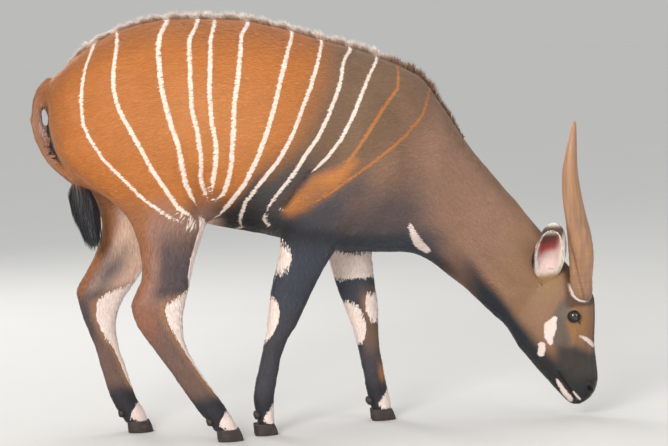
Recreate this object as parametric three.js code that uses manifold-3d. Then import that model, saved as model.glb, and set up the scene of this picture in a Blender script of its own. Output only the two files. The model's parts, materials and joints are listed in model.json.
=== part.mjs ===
// A bongo antelope at life size, standing with its head lowered to the ground.
// Millimetres. +X is the way the animal faces, +Y its left side, +Z up, and the floor is z = 0.
// The body is laid out straight along X, and the neck is then turned to the animal's right.
import * as THREE from "three";
import { mergeVertices } from "three/addons/utils/BufferGeometryUtils.js";
import Module from "manifold-3d";

const wasm = await Module();
wasm.setup();

// Driving sizes
const GAP = 0.3;
const BODY_SIDES = 22;
const HEAD_SIDES = 24;
const LEG_SIDES = 14;
const BODY_POWER = 2.15;
const HEAD_POWER = 2.2;
const NECK_TURN = { from: 388, to: 588, angle: THREE.MathUtils.degToRad(13) };
const NECK_CUT = { x: 345, z: 780, lean: 0.1 };
const HEAD_CUT = { x: 676, z: 407, lean: 0.6 };

// Trunk and neck: x and z of the back line and of the belly line, half width, and the height of the
// widest level as a share of the depth
const TRUNK = [
  [-803, 1085, -805, 1010, 45, 0.5],
  [-797, 1125, -799, 930, 100, 0.5],
  [-775, 1152, -772, 860, 146, 0.5],
  [-731, 1178, -718, 802, 182, 0.5],
  [-669, 1217, -655, 758, 206, 0.5],
  [-606, 1250, -592, 726, 220, 0.5],
  [-544, 1273, -530, 706, 230, 0.48],
  [-452, 1288, -440, 686, 241, 0.46],
  [-330, 1287, -325, 652, 250, 0.44],
  [-207, 1277, -220, 629, 255, 0.42],
  [-116, 1258, -125, 605, 250, 0.42],
  [-24, 1228, -35, 575, 236, 0.42],
  [67, 1198, 55, 556, 220, 0.42],
  [150, 1174, 140, 545, 205, 0.43],
  [220, 1146, 215, 540, 190, 0.44],
  [285, 1116, 285, 536, 172, 0.46],
  [345, 1080, 340, 515, 152, 0.48],
  [400, 995, 378, 483, 136, 0.5],
  [456, 902, 412, 455, 124, 0.5],
  [515, 820, 446, 427, 114, 0.5],
  [575, 745, 482, 395, 106, 0.5],
  [632, 674, 520, 350, 98, 0.52],
  [680, 615, 560, 312, 90, 0.54],
  [722, 560, 600, 285, 80, 0.56],
  [752, 515, 632, 290, 62, 0.56],
];

// Head: x and z of the face line and of the jaw line, half width, and the level of the widest place
const HEAD = [
  [752, 512, 640, 380, 50, 0.5],
  [778, 482, 606, 326, 70, 0.55],
  [812, 440, 590, 284, 77, 0.6],
  [844, 405, 596, 262, 79, 0.64],
  [860, 376, 609, 240, 79, 0.68],
  [861, 345, 626, 218, 77, 0.7],
  [861, 312, 644, 194, 74, 0.7],
  [859, 278, 661, 171, 68, 0.66],
  [857, 243, 679, 148, 59, 0.62],
  [858, 208, 697, 127, 51, 0.6],
  [861, 176, 713, 108, 46, 0.6],
  [864, 145, 729, 89, 43, 0.6],
  [865, 120, 743, 73, 41, 0.58],
  [862, 98, 757, 58, 38, 0.56],
  [855, 78, 772, 47, 33, 0.54],
  [843, 63, 787, 42, 23, 0.52],
  [828, 52, 803, 43, 10, 0.5],
];

// Legs: height, rear edge, front edge, outward place of the centre line, half width
const LEGS = {
  hind_right: {
    side: -1,
    hoof: { heel: -340, toe: -262, turn: 0.02 },
    cut: { x: -333, z: 700, slope: -0.16 },
    joint: 470,
    rows: [
      [1080, -690, -430, 95, 80],
      [1010, -742, -400, 112, 96],
      [950, -772, -375, 122, 103],
      [900, -784, -358, 127, 104],
      [840, -741, -340, 131, 101],
      [775, -661, -328, 134, 95],
      [720, -604, -330, 134, 86],
      [660, -566, -346, 136, 76],
      [605, -551, -370, 138, 65],
      [550, -546, -388, 140, 55],
      [505, -548, -399, 141, 48],
      [470, -568, -406, 141, 43],
      [436, -586, -418, 141, 40],
      [405, -584, -426, 141, 38],
      [365, -570, -431, 141, 36],
      [320, -541, -429, 141, 33],
      [275, -510, -416, 141, 30],
      [220, -474, -386, 141, 28],
      [160, -437, -349, 141, 28],
      [112, -406, -318, 141, 32],
      [84, -388, -300, 141, 35],
      [58, -366, -286, 141, 33],
      [34, -346, -274, 141, 33],
    ],
  },
  hind_left: {
    side: 1,
    hoof: { heel: -606, toe: -528, turn: 0.04 },
    cut: { x: -333, z: 700, slope: -0.16 },
    joint: 478,
    rows: [
      [1080, -690, -430, 95, 80],
      [1010, -742, -405, 112, 96],
      [950, -770, -390, 122, 103],
      [900, -780, -384, 127, 104],
      [840, -753, -384, 131, 101],
      [775, -712, -386, 132, 95],
      [720, -676, -396, 130, 86],
      [660, -655, -424, 128, 76],
      [600, -668, -468, 126, 64],
      [550, -690, -508, 124, 54],
      [510, -715, -536, 122, 48],
      [478, -738, -558, 121, 43],
      [450, -749, -580, 120, 40],
      [410, -741, -608, 120, 38],
      [370, -730, -625, 120, 36],
      [325, -716, -630, 120, 33],
      [275, -697, -624, 120, 30],
      [215, -684, -606, 120, 28],
      [155, -669, -590, 120, 28],
      [108, -655, -576, 120, 32],
      [82, -644, -562, 120, 35],
      [56, -628, -548, 120, 33],
      [34, -612, -540, 120, 33],
    ],
  },
  fore_right: {
    side: -1,
    hoof: { heel: -222, toe: -150, turn: 0.0 },
    cut: { x: -80, z: 560, slope: 0.1 },
    joint: 350,
    rows: [
      [1060, 60, 210, 90, 92],
      [980, 10, 262, 108, 104],
      [900, -40, 296, 120, 106],
      [820, -82, 300, 126, 102],
      [750, -106, 268, 126, 96],
      [690, -114, 196, 120, 87],
      [635, -116, 112, 112, 75],
      [580, -123, 60, 104, 61],
      [520, -136, 18, 96, 48],
      [470, -150, -12, 90, 42],
      [420, -160, -36, 85, 38],
      [375, -168, -60, 82, 37],
      [335, -173, -80, 80, 37],
      [295, -180, -108, 78, 34],
      [245, -191, -130, 76, 28],
      [180, -210, -144, 74, 26],
      [130, -222, -154, 72, 27],
      [98, -222, -160, 71, 31],
      [70, -216, -160, 70, 32],
      [34, -214, -156, 70, 31],
    ],
  },
  fore_left: {
    side: 1,
    hoof: { heel: 160, toe: 236, turn: 0.0 },
    cut: { x: 60, z: 560, slope: 0.1 },
    joint: 350,
    rows: [
      [1060, 70, 215, 90, 92],
      [980, 30, 268, 108, 104],
      [900, 0, 302, 120, 106],
      [820, -18, 312, 126, 102],
      [750, -10, 300, 126, 96],
      [690, 10, 266, 120, 87],
      [635, 23, 222, 112, 75],
      [580, 32, 194, 104, 61],
      [525, 45, 182, 98, 50],
      [470, 56, 184, 95, 43],
      [420, 70, 190, 92, 39],
      [375, 84, 195, 90, 37],
      [335, 98, 196, 88, 37],
      [295, 111, 193, 87, 34],
      [245, 122, 193, 86, 28],
      [180, 134, 202, 85, 26],
      [130, 142, 209, 85, 27],
      [98, 146, 214, 85, 31],
      [70, 152, 220, 85, 32],
      [34, 162, 228, 85, 31],
    ],
  },
};

// Hooves and dewclaws
const HOOF = { height: 36, claw: 31, cleft: 4, sides: 12, nose: 0.45, hook: 0.12 };
const HOOF_TIERS = [
  { level: 0, draft: 0, wide: 1 },
  { level: 0.5, draft: 1.5, wide: 0.97 },
  { level: 1, draft: 5, wide: 0.86 },
];
const DEWCLAW = { height: 27, width: 19, depth: 23.6, spread: 17, up: 62, inset: 4, sides: 7 };

// Eyes and lids
const EYE = { x: 797, z: 324, out: 64, radius: 21, sides: 14 };
const ORBIT = { half: [34, 25, 30], back: 3, in: 8, sides: 10 };
const LIDS = { thick: 4.4, halfLong: 18.2, halfHigh: 14.9, out: 12, bow: 2, steps: 5, sides: 6 };
const LID_ARCS = [
  { from: -0.15, to: Math.PI + 0.15, size: 1.25 },
  { from: Math.PI - 0.2, to: 2 * Math.PI + 0.2, size: 0.9 },
];

// Mouth line from its corner to the front, the lips along it, and the nostrils
const MOUTH = {
  line: [[744, 146], [754, 128], [766, 108], [779, 86], [792, 66], [803, 52]],
  lips: [4, 7, 9, 9.5, 9, 7],
  lipsIn: 3,
  groove: [2.5, 3.5, 4, 4, 4, 4],
  grooveOut: 2.5,
  sides: 6,
};
const NOSTRIL = { x: 836, z: 87, out: 1, half: [7, 8, 11], sides: 10 };

// Ears: a cup from its root to its tip
const EAR = {
  length: 190,
  halfWidth: 52,
  depth: 36,
  wall: 5,
  root: { x: 722, z: 438, out: 66, sink: 16 },
  aim: { x: 0.09, out: 0.42, z: 0.9 },
  opening: { x: 0.3, out: 0.86 },
  narrowRoot: 0.38,
  widestAt: 0.35,
  hollowFrom: 0.14,
  hollowTo: 0.42,
  bow: 8,
  rows: 11,
  across: 8,
};

// Horns: one open twist with a keel
const HORN = {
  base: 360,
  tip: 920,
  sides: 12,
  keel: 0.2,
  backKeel: 0.08,
  flats: 0.07,
  sharp: 0.5,
  start: 0.25,
  twist: 3.6,
  ease: 0.75,
};
const HORN_LINE = [
  [360, 812, 36, 24, 22],
  [386, 820, 41, 35, 30],
  [436, 822, 48, 37, 32],
  [500, 825, 58, 40, 33],
  [560, 821, 70, 38, 31],
  [620, 812, 82, 33, 27],
  [690, 803, 93, 26.5, 23],
  [760, 799, 99, 21, 19],
  [820, 803, 98, 16, 15],
  [870, 809, 92, 11, 11],
  [908, 814, 84, 6, 6],
  [920, 815.5, 81, 2.5, 2.5],
];

// Tail and its tuft
const TAIL = {
  line: [
    [-760, 1120],
    [-806, 1100],
    [-838, 1062],
    [-844, 1000],
    [-831, 930],
    [-803, 874],
    [-758, 824],
    [-700, 775],
  ],
  radius: [30, 28, 22, 18, 17, 16, 15, 14],
  out: 12,
  sides: 12,
};
const TUFT = {
  x: -700,
  z: 768,
  out: 12,
  length: 228,
  locks: 16,
  width: 33,
  thick: 13,
  sink: 10,
  steps: 4,
  spiral: 2.399963,
  firstDrop: 26,
  tiers: 62,
  rootOut: 15,
  flatness: 0.8,
};
const TUFT_CORE = {
  sides: 10,
  drops: [[6, 12], [-30, 25], [-70, 27], [-110, 14], [-116, 4]],
  back: 3,
  lift: 14,
};

// Crest of erect hair along the back
const CREST = {
  from: -704, to: 436, pitch: 20, height: 31, width: 23, thick: 7, sink: 12, apart: 3, endLocks: 6, steps: 2,
};

// A repeatable draw between 0 and 1
let seed = 20;
function draw() {
  seed = (seed * 1664525 + 1013904223) % 4294967296;
  return seed / 4294967296;
}
const between = (low, high) => low + (high - low) * draw();

// Rows of numbers, made finer by a smooth curve through them
function smoothRows(rows, parts) {
  const fine = [];
  const last = rows.length - 1;
  for (let i = 0; i < last; i++) {
    const [a, b, c, d] = [rows[Math.max(i - 1, 0)], rows[i], rows[i + 1], rows[Math.min(i + 2, last)]];
    for (let k = 0; k < parts; k++) {
      const t = k / parts;
      fine.push(b.map((v, j) => {
        const slopeIn = (c[j] - a[j]) / 2;
        const slopeOut = (d[j] - v) / 2;
        const rise = c[j] - v;
        const curve = 3 * rise - 2 * slopeIn - slopeOut;
        return v + t * (slopeIn + t * (curve + t * (slopeIn + slopeOut - 2 * rise)));
      }));
    }
  }
  fine.push(rows[last]);
  return fine;
}

// A row of numbers at a place between 0 and 1 along a list of rows
function rowAt(rows, share) {
  const place = THREE.MathUtils.clamp(share, 0, 1) * (rows.length - 1);
  const i = Math.min(Math.floor(place), rows.length - 2);
  return rows[i].map((v, j) => v + (rows[i + 1][j] - v) * (place - i));
}

// Closed solid through rings of equal count, each a list of points, with a fan over both ends
function loft(rings) {
  const count = rings[0].length;
  const points = rings.flat();
  const faces = [];
  for (let i = 0; i + 1 < rings.length; i++) {
    for (let j = 0; j < count; j++) {
      const a = i * count + j;
      const b = i * count + ((j + 1) % count);
      faces.push([a, b, b + count], [a, b + count, a + count]);
    }
  }
  for (const [ring, flip] of [[0, true], [rings.length - 1, false]]) {
    const middle = new THREE.Vector3();
    rings[ring].forEach((p) => middle.addScaledVector(p, 1 / count));
    points.push(middle);
    for (let j = 0; j < count; j++) {
      const a = ring * count + j;
      const b = ring * count + ((j + 1) % count);
      faces.push(flip ? [b, a, points.length - 1] : [a, b, points.length - 1]);
    }
  }
  const solid = solidOf(points, faces);
  return solid.volume() > 0 ? solid : solidOf(points, faces.map(([a, b, c]) => [a, c, b]));
}

// A solid from points and faces
function solidOf(points, faces) {
  const numbers = points.flatMap((p) => [p.x, p.y, p.z]);
  const geometry = new THREE.BufferGeometry();
  geometry.setAttribute("position", new THREE.Float32BufferAttribute(numbers, 3));
  geometry.setIndex(faces.flat());
  return fromGeometry(geometry);
}

function fromGeometry(geometry) {
  const bare = geometry.clone();
  bare.deleteAttribute("normal");
  bare.deleteAttribute("uv");
  const merged = mergeVertices(bare, 1e-4);
  return new wasm.Manifold(new wasm.Mesh({
    numProp: 3,
    vertProperties: new Float32Array(merged.attributes.position.array),
    triVerts: new Uint32Array(merged.index.array),
  }));
}

const join = (solids) => solids.reduce((a, b) => a.add(b));

// The largest closed surface of a solid
function largest(solid) {
  return solid.decompose().sort((a, b) => b.volume() - a.volume())[0];
}

// Keeps the side of a plane that its normal points to; the plane passes through (x, z)
function keepSide(solid, x, z, normalX, normalZ, back = 0) {
  const size = Math.hypot(normalX, normalZ);
  const normal = [normalX / size, 0, normalZ / size];
  return solid.trimByPlane(normal, normal[0] * x + normal[2] * z + back);
}

// Ring across the body between an upper and a lower point, round or squarer by its power
function crossRing([topX, topZ, lowX, lowZ, half, widest], sides, power, grow) {
  const depth = Math.hypot(topX - lowX, topZ - lowZ);
  const ring = [];
  for (let k = 0; k < sides; k++) {
    const angle = (k / sides) * 2 * Math.PI;
    const across = Math.sign(Math.cos(angle)) * Math.abs(Math.cos(angle)) ** (2 / power);
    const rise = Math.sign(Math.sin(angle)) * Math.abs(Math.sin(angle)) ** (2 / power);
    const reach = grow / depth;
    const level = widest + rise * ((rise > 0 ? 1 - widest : widest) + reach);
    ring.push(new THREE.Vector3(
      lowX + (topX - lowX) * level,
      across * (half + grow),
      lowZ + (topZ - lowZ) * level,
    ));
  }
  return ring;
}

// Level ring of a leg
function levelRing([z, rear, front, out, half], side, sides, power = 2.1) {
  const ring = [];
  for (let k = 0; k < sides; k++) {
    const angle = (k / sides) * 2 * Math.PI;
    const along = Math.sign(Math.cos(angle)) * Math.abs(Math.cos(angle)) ** (2 / power);
    const across = Math.sign(Math.sin(angle)) * Math.abs(Math.sin(angle)) ** (2 / power);
    ring.push(new THREE.Vector3(
      (front + rear) / 2 + along * (front - rear) / 2,
      side * out + across * half,
      z,
    ));
  }
  return ring;
}

// Trunk and neck in one, and the head, as plain forms; grow makes them larger all round
function trunkForm(grow = 0) {
  return loft(smoothRows(TRUNK, 2).map((row) => crossRing(row, BODY_SIDES, BODY_POWER, grow)));
}
const headRows = smoothRows(HEAD, 2);
function headForm(grow = 0) {
  return loft(headRows.map((row) => crossRing(row, HEAD_SIDES, HEAD_POWER, grow)));
}

// How far out the head's surface lies beside a place in its middle plane
function headOut(x, z) {
  const sideOf = ([topX, topZ, lowX, lowZ]) => (topX - lowX) * (z - lowZ) - (topZ - lowZ) * (x - lowX);
  const next = headRows.findIndex((row, i) => i > 0 && sideOf(headRows[i - 1]) >= 0 !== sideOf(row) >= 0);
  const [before, after] = [sideOf(headRows[next - 1]), sideOf(headRows[next])];
  const [topX, topZ, lowX, lowZ, half, widest] = headRows[next - 1].map(
    (v, j) => v + (headRows[next][j] - v) * before / (before - after),
  );
  const [spanX, spanZ] = [topX - lowX, topZ - lowZ];
  const level = ((x - lowX) * spanX + (z - lowZ) * spanZ) / (spanX ** 2 + spanZ ** 2);
  const rise = level > widest ? (level - widest) / (1 - widest) : (widest - level) / widest;
  return half * Math.max(0, 1 - rise ** HEAD_POWER) ** (1 / HEAD_POWER);
}
const onHead = (x, z, side, out = 0) => new THREE.Vector3(x, side * (headOut(x, z) + out), z);

// Round tube through points with a radius at each, closed by round ends
function tube(points, radii, sides) {
  const curve = new THREE.CatmullRomCurve3(points);
  const steps = Math.round((points.length - 1) * 1.5);
  const rings = [];
  for (let i = 0; i <= steps; i++) {
    const share = i / steps;
    const place = curve.getPoint(share);
    const [radius] = rowAt(radii.map((r) => [r]), share);
    const aim = curve.getTangent(share);
    const sideways = new THREE.Vector3(-aim.z, 0, aim.x);
    if (sideways.length() < 0.2) sideways.set(1, 0, 0);
    sideways.cross(aim).cross(aim).normalize().negate();
    const other = new THREE.Vector3().crossVectors(aim, sideways).normalize();
    const ring = [];
    for (let k = 0; k < sides; k++) {
      const angle = (k / sides) * 2 * Math.PI;
      ring.push(place.clone()
        .addScaledVector(sideways, radius * Math.cos(angle))
        .addScaledVector(other, radius * Math.sin(angle)));
    }
    rings.push(ring);
  }
  return loft(rings);
}

// Ball, stretched along each axis
function ball(center, [rx, ry, rz], round) {
  const geometry = new THREE.SphereGeometry(1, round, Math.round(round * 0.7));
  geometry.scale(rx, ry, rz);
  geometry.translate(center.x, center.y, center.z);
  return fromGeometry(geometry);
}

// Flat tapered lock that bends: from its root along its aim, falling off towards its sweep
function lock(root, aim, sweep, flat, { length, width, thick, sink, steps }) {
  const rings = [];
  const start = root.clone().addScaledVector(aim, -sink);
  for (let i = 0; i <= steps; i++) {
    const share = i / steps;
    const along = share * (length + sink);
    const place = start.clone().addScaledVector(aim, along).addScaledVector(sweep, share * share);
    const heading = aim.clone().multiplyScalar(length + sink).addScaledVector(sweep, 2 * share).normalize();
    const thin = new THREE.Vector3().crossVectors(heading, flat).normalize();
    const taper = i === steps ? 0.12 : 1 - 0.55 * share * share;
    const ring = [[1, 0], [0, 1], [-1, 0], [0, -1]].map(([u, v]) => place.clone()
      .addScaledVector(flat, u * taper * width / 2)
      .addScaledVector(thin, v * taper * thick / 2));
    rings.push(ring);
  }
  return loft(rings);
}

// Legs
const trunk = trunkForm();
const trunkGrown = trunkForm(GAP);
const nodes = new Map();
const upperLegs = [];
for (const [name, leg] of Object.entries(LEGS)) {
  const whole = loft(leg.rows.map((row) => levelRing(row, leg.side, LEG_SIDES)).reverse());
  const { x, z, slope } = leg.cut;
  upperLegs.push(keepSide(whole, x, z, -slope, 1));
  const below = keepSide(whole, x, z, slope, -1, GAP).subtract(trunkGrown);
  const claws = clawsOf(name, leg);
  const dewclaws = dewclawsOf(name, leg);
  let shank = keepSide(below, 0, leg.joint, 0, -1, GAP / 2);
  shank = keepSide(shank, 0, HOOF.height, 0, 1, GAP);
  dewclaws.forEach(([, , room]) => {
    shank = shank.subtract(room);
  });
  nodes.set(name.replace("_", "_leg_"), largest(keepSide(below, 0, leg.joint, 0, 1, GAP / 2)));
  nodes.set(name.replace("_", "_shank_"), largest(shank));
  claws.forEach(([label, solid]) => nodes.set(label, solid));
  dewclaws.forEach(([label, solid]) => nodes.set(label, solid));
}

// Two claws of a hoof, side by side, flat on the floor
function clawsOf(name, leg) {
  const bottom = leg.rows[leg.rows.length - 1];
  const { heel, toe, turn } = leg.hoof;
  return ["inner", "outer"].map((label, index) => {
    const away = leg.side * (index === 0 ? -1 : 1);
    const middle = leg.side * bottom[3] + away * (HOOF.claw + HOOF.cleft) / 2;
    const rings = HOOF_TIERS.map(({ level, draft, wide }) => {
      const ring = [];
      for (let k = 0; k < HOOF.sides; k++) {
        const angle = (k / HOOF.sides) * 2 * Math.PI;
        const along = Math.cos(angle);
        const nose = along > 0 ? 1 - HOOF.nose * along ** 3 : 1;
        const slant = draft * (along > 0 ? 2.4 : 0.4) * Math.abs(along);
        const x = (heel + toe) / 2 + along * (toe - heel) / 2 - slant;
        const inward = -away * HOOF.hook * Math.max(along, 0) * HOOF.claw;
        const bulge = Math.sin(angle) * nose * wide * HOOF.claw / 2;
        const out = middle + bulge + inward + turn * (x - heel) * away;
        ring.push(new THREE.Vector3(x, out, level * HOOF.height));
      }
      return ring;
    });
    return [`hoof_${name}_${label}`, loft(rings)];
  });
}

// Two dewclaws behind a fetlock, each in a socket of the leg
function dewclawsOf(name, leg) {
  const row = leg.rows.find(([z]) => z < DEWCLAW.up + DEWCLAW.height / 2);
  return ["inner", "outer"].map((label, index) => {
    const away = leg.side * (index === 0 ? -1 : 1);
    const out = leg.side * row[3] + away * DEWCLAW.spread;
    const center = new THREE.Vector3(row[1] + DEWCLAW.inset, out, DEWCLAW.up);
    const half = [DEWCLAW.depth / 2, DEWCLAW.width / 2, DEWCLAW.height / 2];
    const claw = ball(center, half, DEWCLAW.sides);
    const room = ball(center, half.map((v) => v + GAP), DEWCLAW.sides);
    return [`dewclaw_${name}_${label}`, claw, room];
  });
}

// Crest locks, rooted along the back line
const backRows = smoothRows(TRUNK.map(([x, z]) => [x, z]), 2)
  .filter(([x]) => x > CREST.from && x < CREST.to);
const backLine = new THREE.CatmullRomCurve3(backRows.map(([x, z]) => new THREE.Vector3(x, 0, z)));
const crest = [];
const crestCount = Math.round(backLine.getLength() / CREST.pitch);
for (let k = 0; k <= crestCount; k++) {
  const place = backLine.getPointAt(k / crestCount);
  const along = backLine.getTangentAt(k / crestCount);
  const end = Math.min(k, crestCount - k) / CREST.endLocks;
  const height = CREST.height * between(0.8, 1.15) * Math.min(1, 0.45 + 0.55 * end);
  const up = new THREE.Vector3(-along.z, 0, along.x);
  const beside = k % 2 ? 1 : -1;
  const lean = new THREE.Vector3(0, beside * between(0.04, 0.16), 0);
  const aim = up.clone().addScaledVector(along, between(-0.3, 0.05)).add(lean).normalize();
  const flat = along.clone().addScaledVector(aim, -along.dot(aim)).normalize();
  place.y = beside * CREST.apart;
  const sweep = along.clone().multiplyScalar(-height * between(0.05, 0.3));
  crest.push([place.x, lock(place, aim, sweep, flat, {
    length: height,
    width: CREST.width,
    thick: CREST.thick,
    sink: CREST.sink,
    steps: CREST.steps,
  })]);
}

// Trunk and neck, parted by one thin cut
const backAtCut = rowAt(TRUNK, 16 / (TRUNK.length - 1))[1];
const crestOver = NECK_CUT.x + NECK_CUT.lean * (backAtCut - NECK_CUT.z);
const onTorso = crest.filter(([x]) => x < crestOver - CREST.width / 2).map(([, solid]) => solid);
const onNeck = crest.filter(([x]) => x > crestOver + CREST.width / 2).map(([, solid]) => solid);
const torsoBody = keepSide(trunk, NECK_CUT.x, NECK_CUT.z, -1, NECK_CUT.lean, GAP / 2);
const torso = join([torsoBody, ...upperLegs, ...onTorso]);
nodes.set("torso", largest(keepSide(torso, NECK_CUT.x, NECK_CUT.z, -1, NECK_CUT.lean, GAP / 2)));

// Head: lids, lips and nostrils over the plain form, with the sockets of the eyes cut in
const head = headForm();
const headGrown = headForm(GAP);
const sides = [["right", -1], ["left", 1]];
let face = head;
const grooves = [];
for (const [name, side] of sides) {
  const eye = new THREE.Vector3(EYE.x, side * EYE.out, EYE.z);
  const orbit = new THREE.Vector3(EYE.x - ORBIT.back, side * (EYE.out - ORBIT.in), EYE.z);
  face = face.add(ball(orbit, ORBIT.half, ORBIT.sides));
  for (const { from, to, size } of LID_ARCS) {
    const points = [];
    const radii = [];
    for (let k = 0; k <= LIDS.steps; k++) {
      const angle = from + (to - from) * k / LIDS.steps;
      const bow = Math.sin(Math.PI * k / LIDS.steps);
      points.push(new THREE.Vector3(
        eye.x + LIDS.halfLong * Math.cos(angle),
        side * (EYE.out + LIDS.out + LIDS.bow * bow),
        eye.z + LIDS.halfHigh * Math.sin(angle),
      ));
      radii.push(LIDS.thick * size * (0.6 + 0.4 * bow));
    }
    face = face.add(tube(points, radii, LIDS.sides));
  }
  const socket = EYE.radius + GAP;
  face = face.subtract(ball(eye, [socket, socket, socket], EYE.sides));
  nodes.set(`eye_${name}`, ball(eye, [EYE.radius, EYE.radius, EYE.radius], EYE.sides));

  // Lips with the mouth line between them, and a slanted nostril beside the nose pad
  const lip = MOUTH.line.map(([x, z]) => onHead(x, z, side, -MOUTH.lipsIn));
  const groove = MOUTH.line.map(([x, z]) => onHead(x, z, side, MOUTH.grooveOut));
  face = face.add(tube(lip, MOUTH.lips, MOUTH.sides));
  grooves.push(tube(groove, MOUTH.groove, MOUTH.sides));
  grooves.push(ball(onHead(NOSTRIL.x, NOSTRIL.z, side, NOSTRIL.out), NOSTRIL.half, NOSTRIL.sides));
}
grooves.forEach((groove) => {
  face = face.subtract(groove);
});

// Neck and head, parted by one thin cut
const neckSide = keepSide(trunk, NECK_CUT.x, NECK_CUT.z, 1, -NECK_CUT.lean, GAP / 2);
const throat = keepSide(neckSide, HEAD_CUT.x, HEAD_CUT.z, 1, -HEAD_CUT.lean, GAP / 2);
const nape = keepSide(neckSide, HEAD_CUT.x, HEAD_CUT.z, -1, HEAD_CUT.lean, GAP / 2);
const headFront = keepSide(face, HEAD_CUT.x, HEAD_CUT.z, 1, -HEAD_CUT.lean, GAP / 2);
const headBack = keepSide(head, HEAD_CUT.x, HEAD_CUT.z, -1, HEAD_CUT.lean, GAP / 2);
const neck = join([nape, headBack, ...onNeck]);
nodes.set("neck", largest(keepSide(neck, NECK_CUT.x, NECK_CUT.z, 1, -NECK_CUT.lean, GAP / 2)));
nodes.set("head", largest(headFront.add(throat)));

// Ears: cups that open outwards, rooted on the crown behind the horns
for (const [name, side] of sides) {
  const root = new THREE.Vector3(EAR.root.x, side * EAR.root.out, EAR.root.z);
  const aim = new THREE.Vector3(EAR.aim.x, side * EAR.aim.out, EAR.aim.z).normalize();
  const open = new THREE.Vector3(EAR.opening.x, side * EAR.opening.out, 0);
  open.addScaledVector(aim, -open.dot(aim)).normalize();
  const across = new THREE.Vector3().crossVectors(aim, open).normalize();
  const rings = [];
  for (let i = 0; i <= EAR.rows; i++) {
    const t = i / EAR.rows;
    const swell = EAR.narrowRoot + (1 - EAR.narrowRoot) * Math.sin(Math.min(1, t / 0.5) * Math.PI / 2);
    const narrowing = Math.max(0, (t - EAR.widestAt) / (1.01 - EAR.widestAt)) ** 2.4;
    const half = EAR.halfWidth * swell * Math.sqrt(Math.max(0.02, 1 - narrowing));
    const deep = EAR.depth * (0.9 - 0.62 * t) * Math.min(1, half / EAR.halfWidth + 0.2);
    const hollow = THREE.MathUtils.smoothstep(t, EAR.hollowFrom, EAR.hollowTo);
    const middle = root.clone()
      .addScaledVector(aim, t * EAR.length - EAR.root.sink)
      .addScaledVector(open, -EAR.bow * Math.sin(t * Math.PI));
    const outer = [];
    const inner = [];
    for (let k = 0; k < EAR.across; k++) {
      const angle = Math.PI * (k / (EAR.across - 1) - 0.5);
      const wall = EAR.wall * (0.55 + 0.45 * Math.cos(angle)) * (1 - 0.45 * t);
      const sideways = Math.sin(angle) * half;
      const back = Math.cos(angle) * deep;
      outer.push(middle.clone().addScaledVector(across, sideways).addScaledVector(open, -back));
      const innerBack = (back - wall) * hollow + (-2 - 3 * Math.cos(angle)) * (1 - hollow);
      const rim = k === 0 || k === EAR.across - 1 ? 0.5 : 0;
      inner.push(middle.clone()
        .addScaledVector(across, sideways * (1 - 0.6 * wall / half))
        .addScaledVector(open, rim - innerBack));
    }
    rings.push([...outer, ...inner.reverse()]);
  }
  const ear = loft(rings);
  nodes.set(`ear_${name}`, largest(ear.subtract(headGrown).subtract(trunkGrown)));
}

// Horns: the ring is a little flat, with a ridge at the keel's angle and a lower one opposite
const ridgeAt = (turn) => Math.exp(-((Math.atan2(Math.sin(turn), Math.cos(turn)) / HORN.sharp) ** 2));
for (const [name, side] of sides) {
  const rings = smoothRows(HORN_LINE, 2).map(([z, x, out, deep, wide]) => {
    const rise = (z - HORN.base) / (HORN.tip - HORN.base);
    const keelAngle = HORN.start + HORN.twist * rise ** HORN.ease;
    const ring = [];
    for (let k = 0; k < HORN.sides; k++) {
      const turn = (k / HORN.sides) * 2 * Math.PI;
      const angle = turn + keelAngle;
      const size = 1 - HORN.flats + HORN.keel * ridgeAt(turn) + HORN.backKeel * ridgeAt(turn - Math.PI);
      const outward = out + wide * size * Math.sin(angle);
      ring.push(new THREE.Vector3(x + deep * size * Math.cos(angle), side * outward, z));
    }
    return ring;
  });
  nodes.set(`horn_${name}`, largest(loft(rings).subtract(headGrown).subtract(trunkGrown)));
}

// Tail, and the locks of its tuft round a short core
const tailPoints = TAIL.line.map(([x, z], k) => new THREE.Vector3(x, TAIL.out * Math.max(0, k - 3) / 4, z));
nodes.set("tail", largest(tube(tailPoints, TAIL.radius, TAIL.sides).subtract(trunkGrown)));

const tuftTop = new THREE.Vector3(TUFT.x, TUFT.out, TUFT.z);
const core = TUFT_CORE.drops.map(([drop, radius], row) => {
  const ring = [];
  for (let k = 0; k < TUFT_CORE.sides; k++) {
    const angle = (k / TUFT_CORE.sides) * 2 * Math.PI;
    ring.push(new THREE.Vector3(
      TUFT.x + 4 - row * TUFT_CORE.back + radius * 1.15 * Math.cos(angle),
      TUFT.out + radius * TUFT.flatness * Math.sin(angle),
      TUFT.z - TUFT_CORE.lift + drop,
    ));
  }
  return ring;
});
const tuft = [loft(core.reverse())];
for (let k = 0; k < TUFT.locks; k++) {
  const turn = k * TUFT.spiral;
  const tier = k / TUFT.locks;
  const drop = TUFT.firstDrop + TUFT.tiers * tier;
  const outward = new THREE.Vector3(Math.cos(turn), TUFT.flatness * Math.sin(turn), 0);
  const root = new THREE.Vector3(TUFT.x, TUFT.out, TUFT.z - drop).addScaledVector(outward, TUFT.rootOut);
  const length = (TUFT.length - drop) * between(0.72, 0.98) * (0.62 + 0.38 * tier);
  const aim = new THREE.Vector3(0, 0, -1).addScaledVector(outward, between(0.16, 0.34)).normalize();
  const flat = new THREE.Vector3().crossVectors(aim, outward).normalize();
  const sweep = outward.clone().multiplyScalar(-length * between(0.12, 0.3));
  sweep.x -= TUFT.thick / 2;
  tuft.push(lock(root, aim, sweep, flat, {
    length,
    width: TUFT.width * between(0.85, 1.15),
    thick: TUFT.thick,
    sink: TUFT.sink,
    steps: TUFT.steps,
  }));
}
const tailGrown = tube(tailPoints, TAIL.radius.map((r) => r + GAP), TAIL.sides);
nodes.set("tail_tuft", largest(join(tuft).subtract(tailGrown)));

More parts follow.
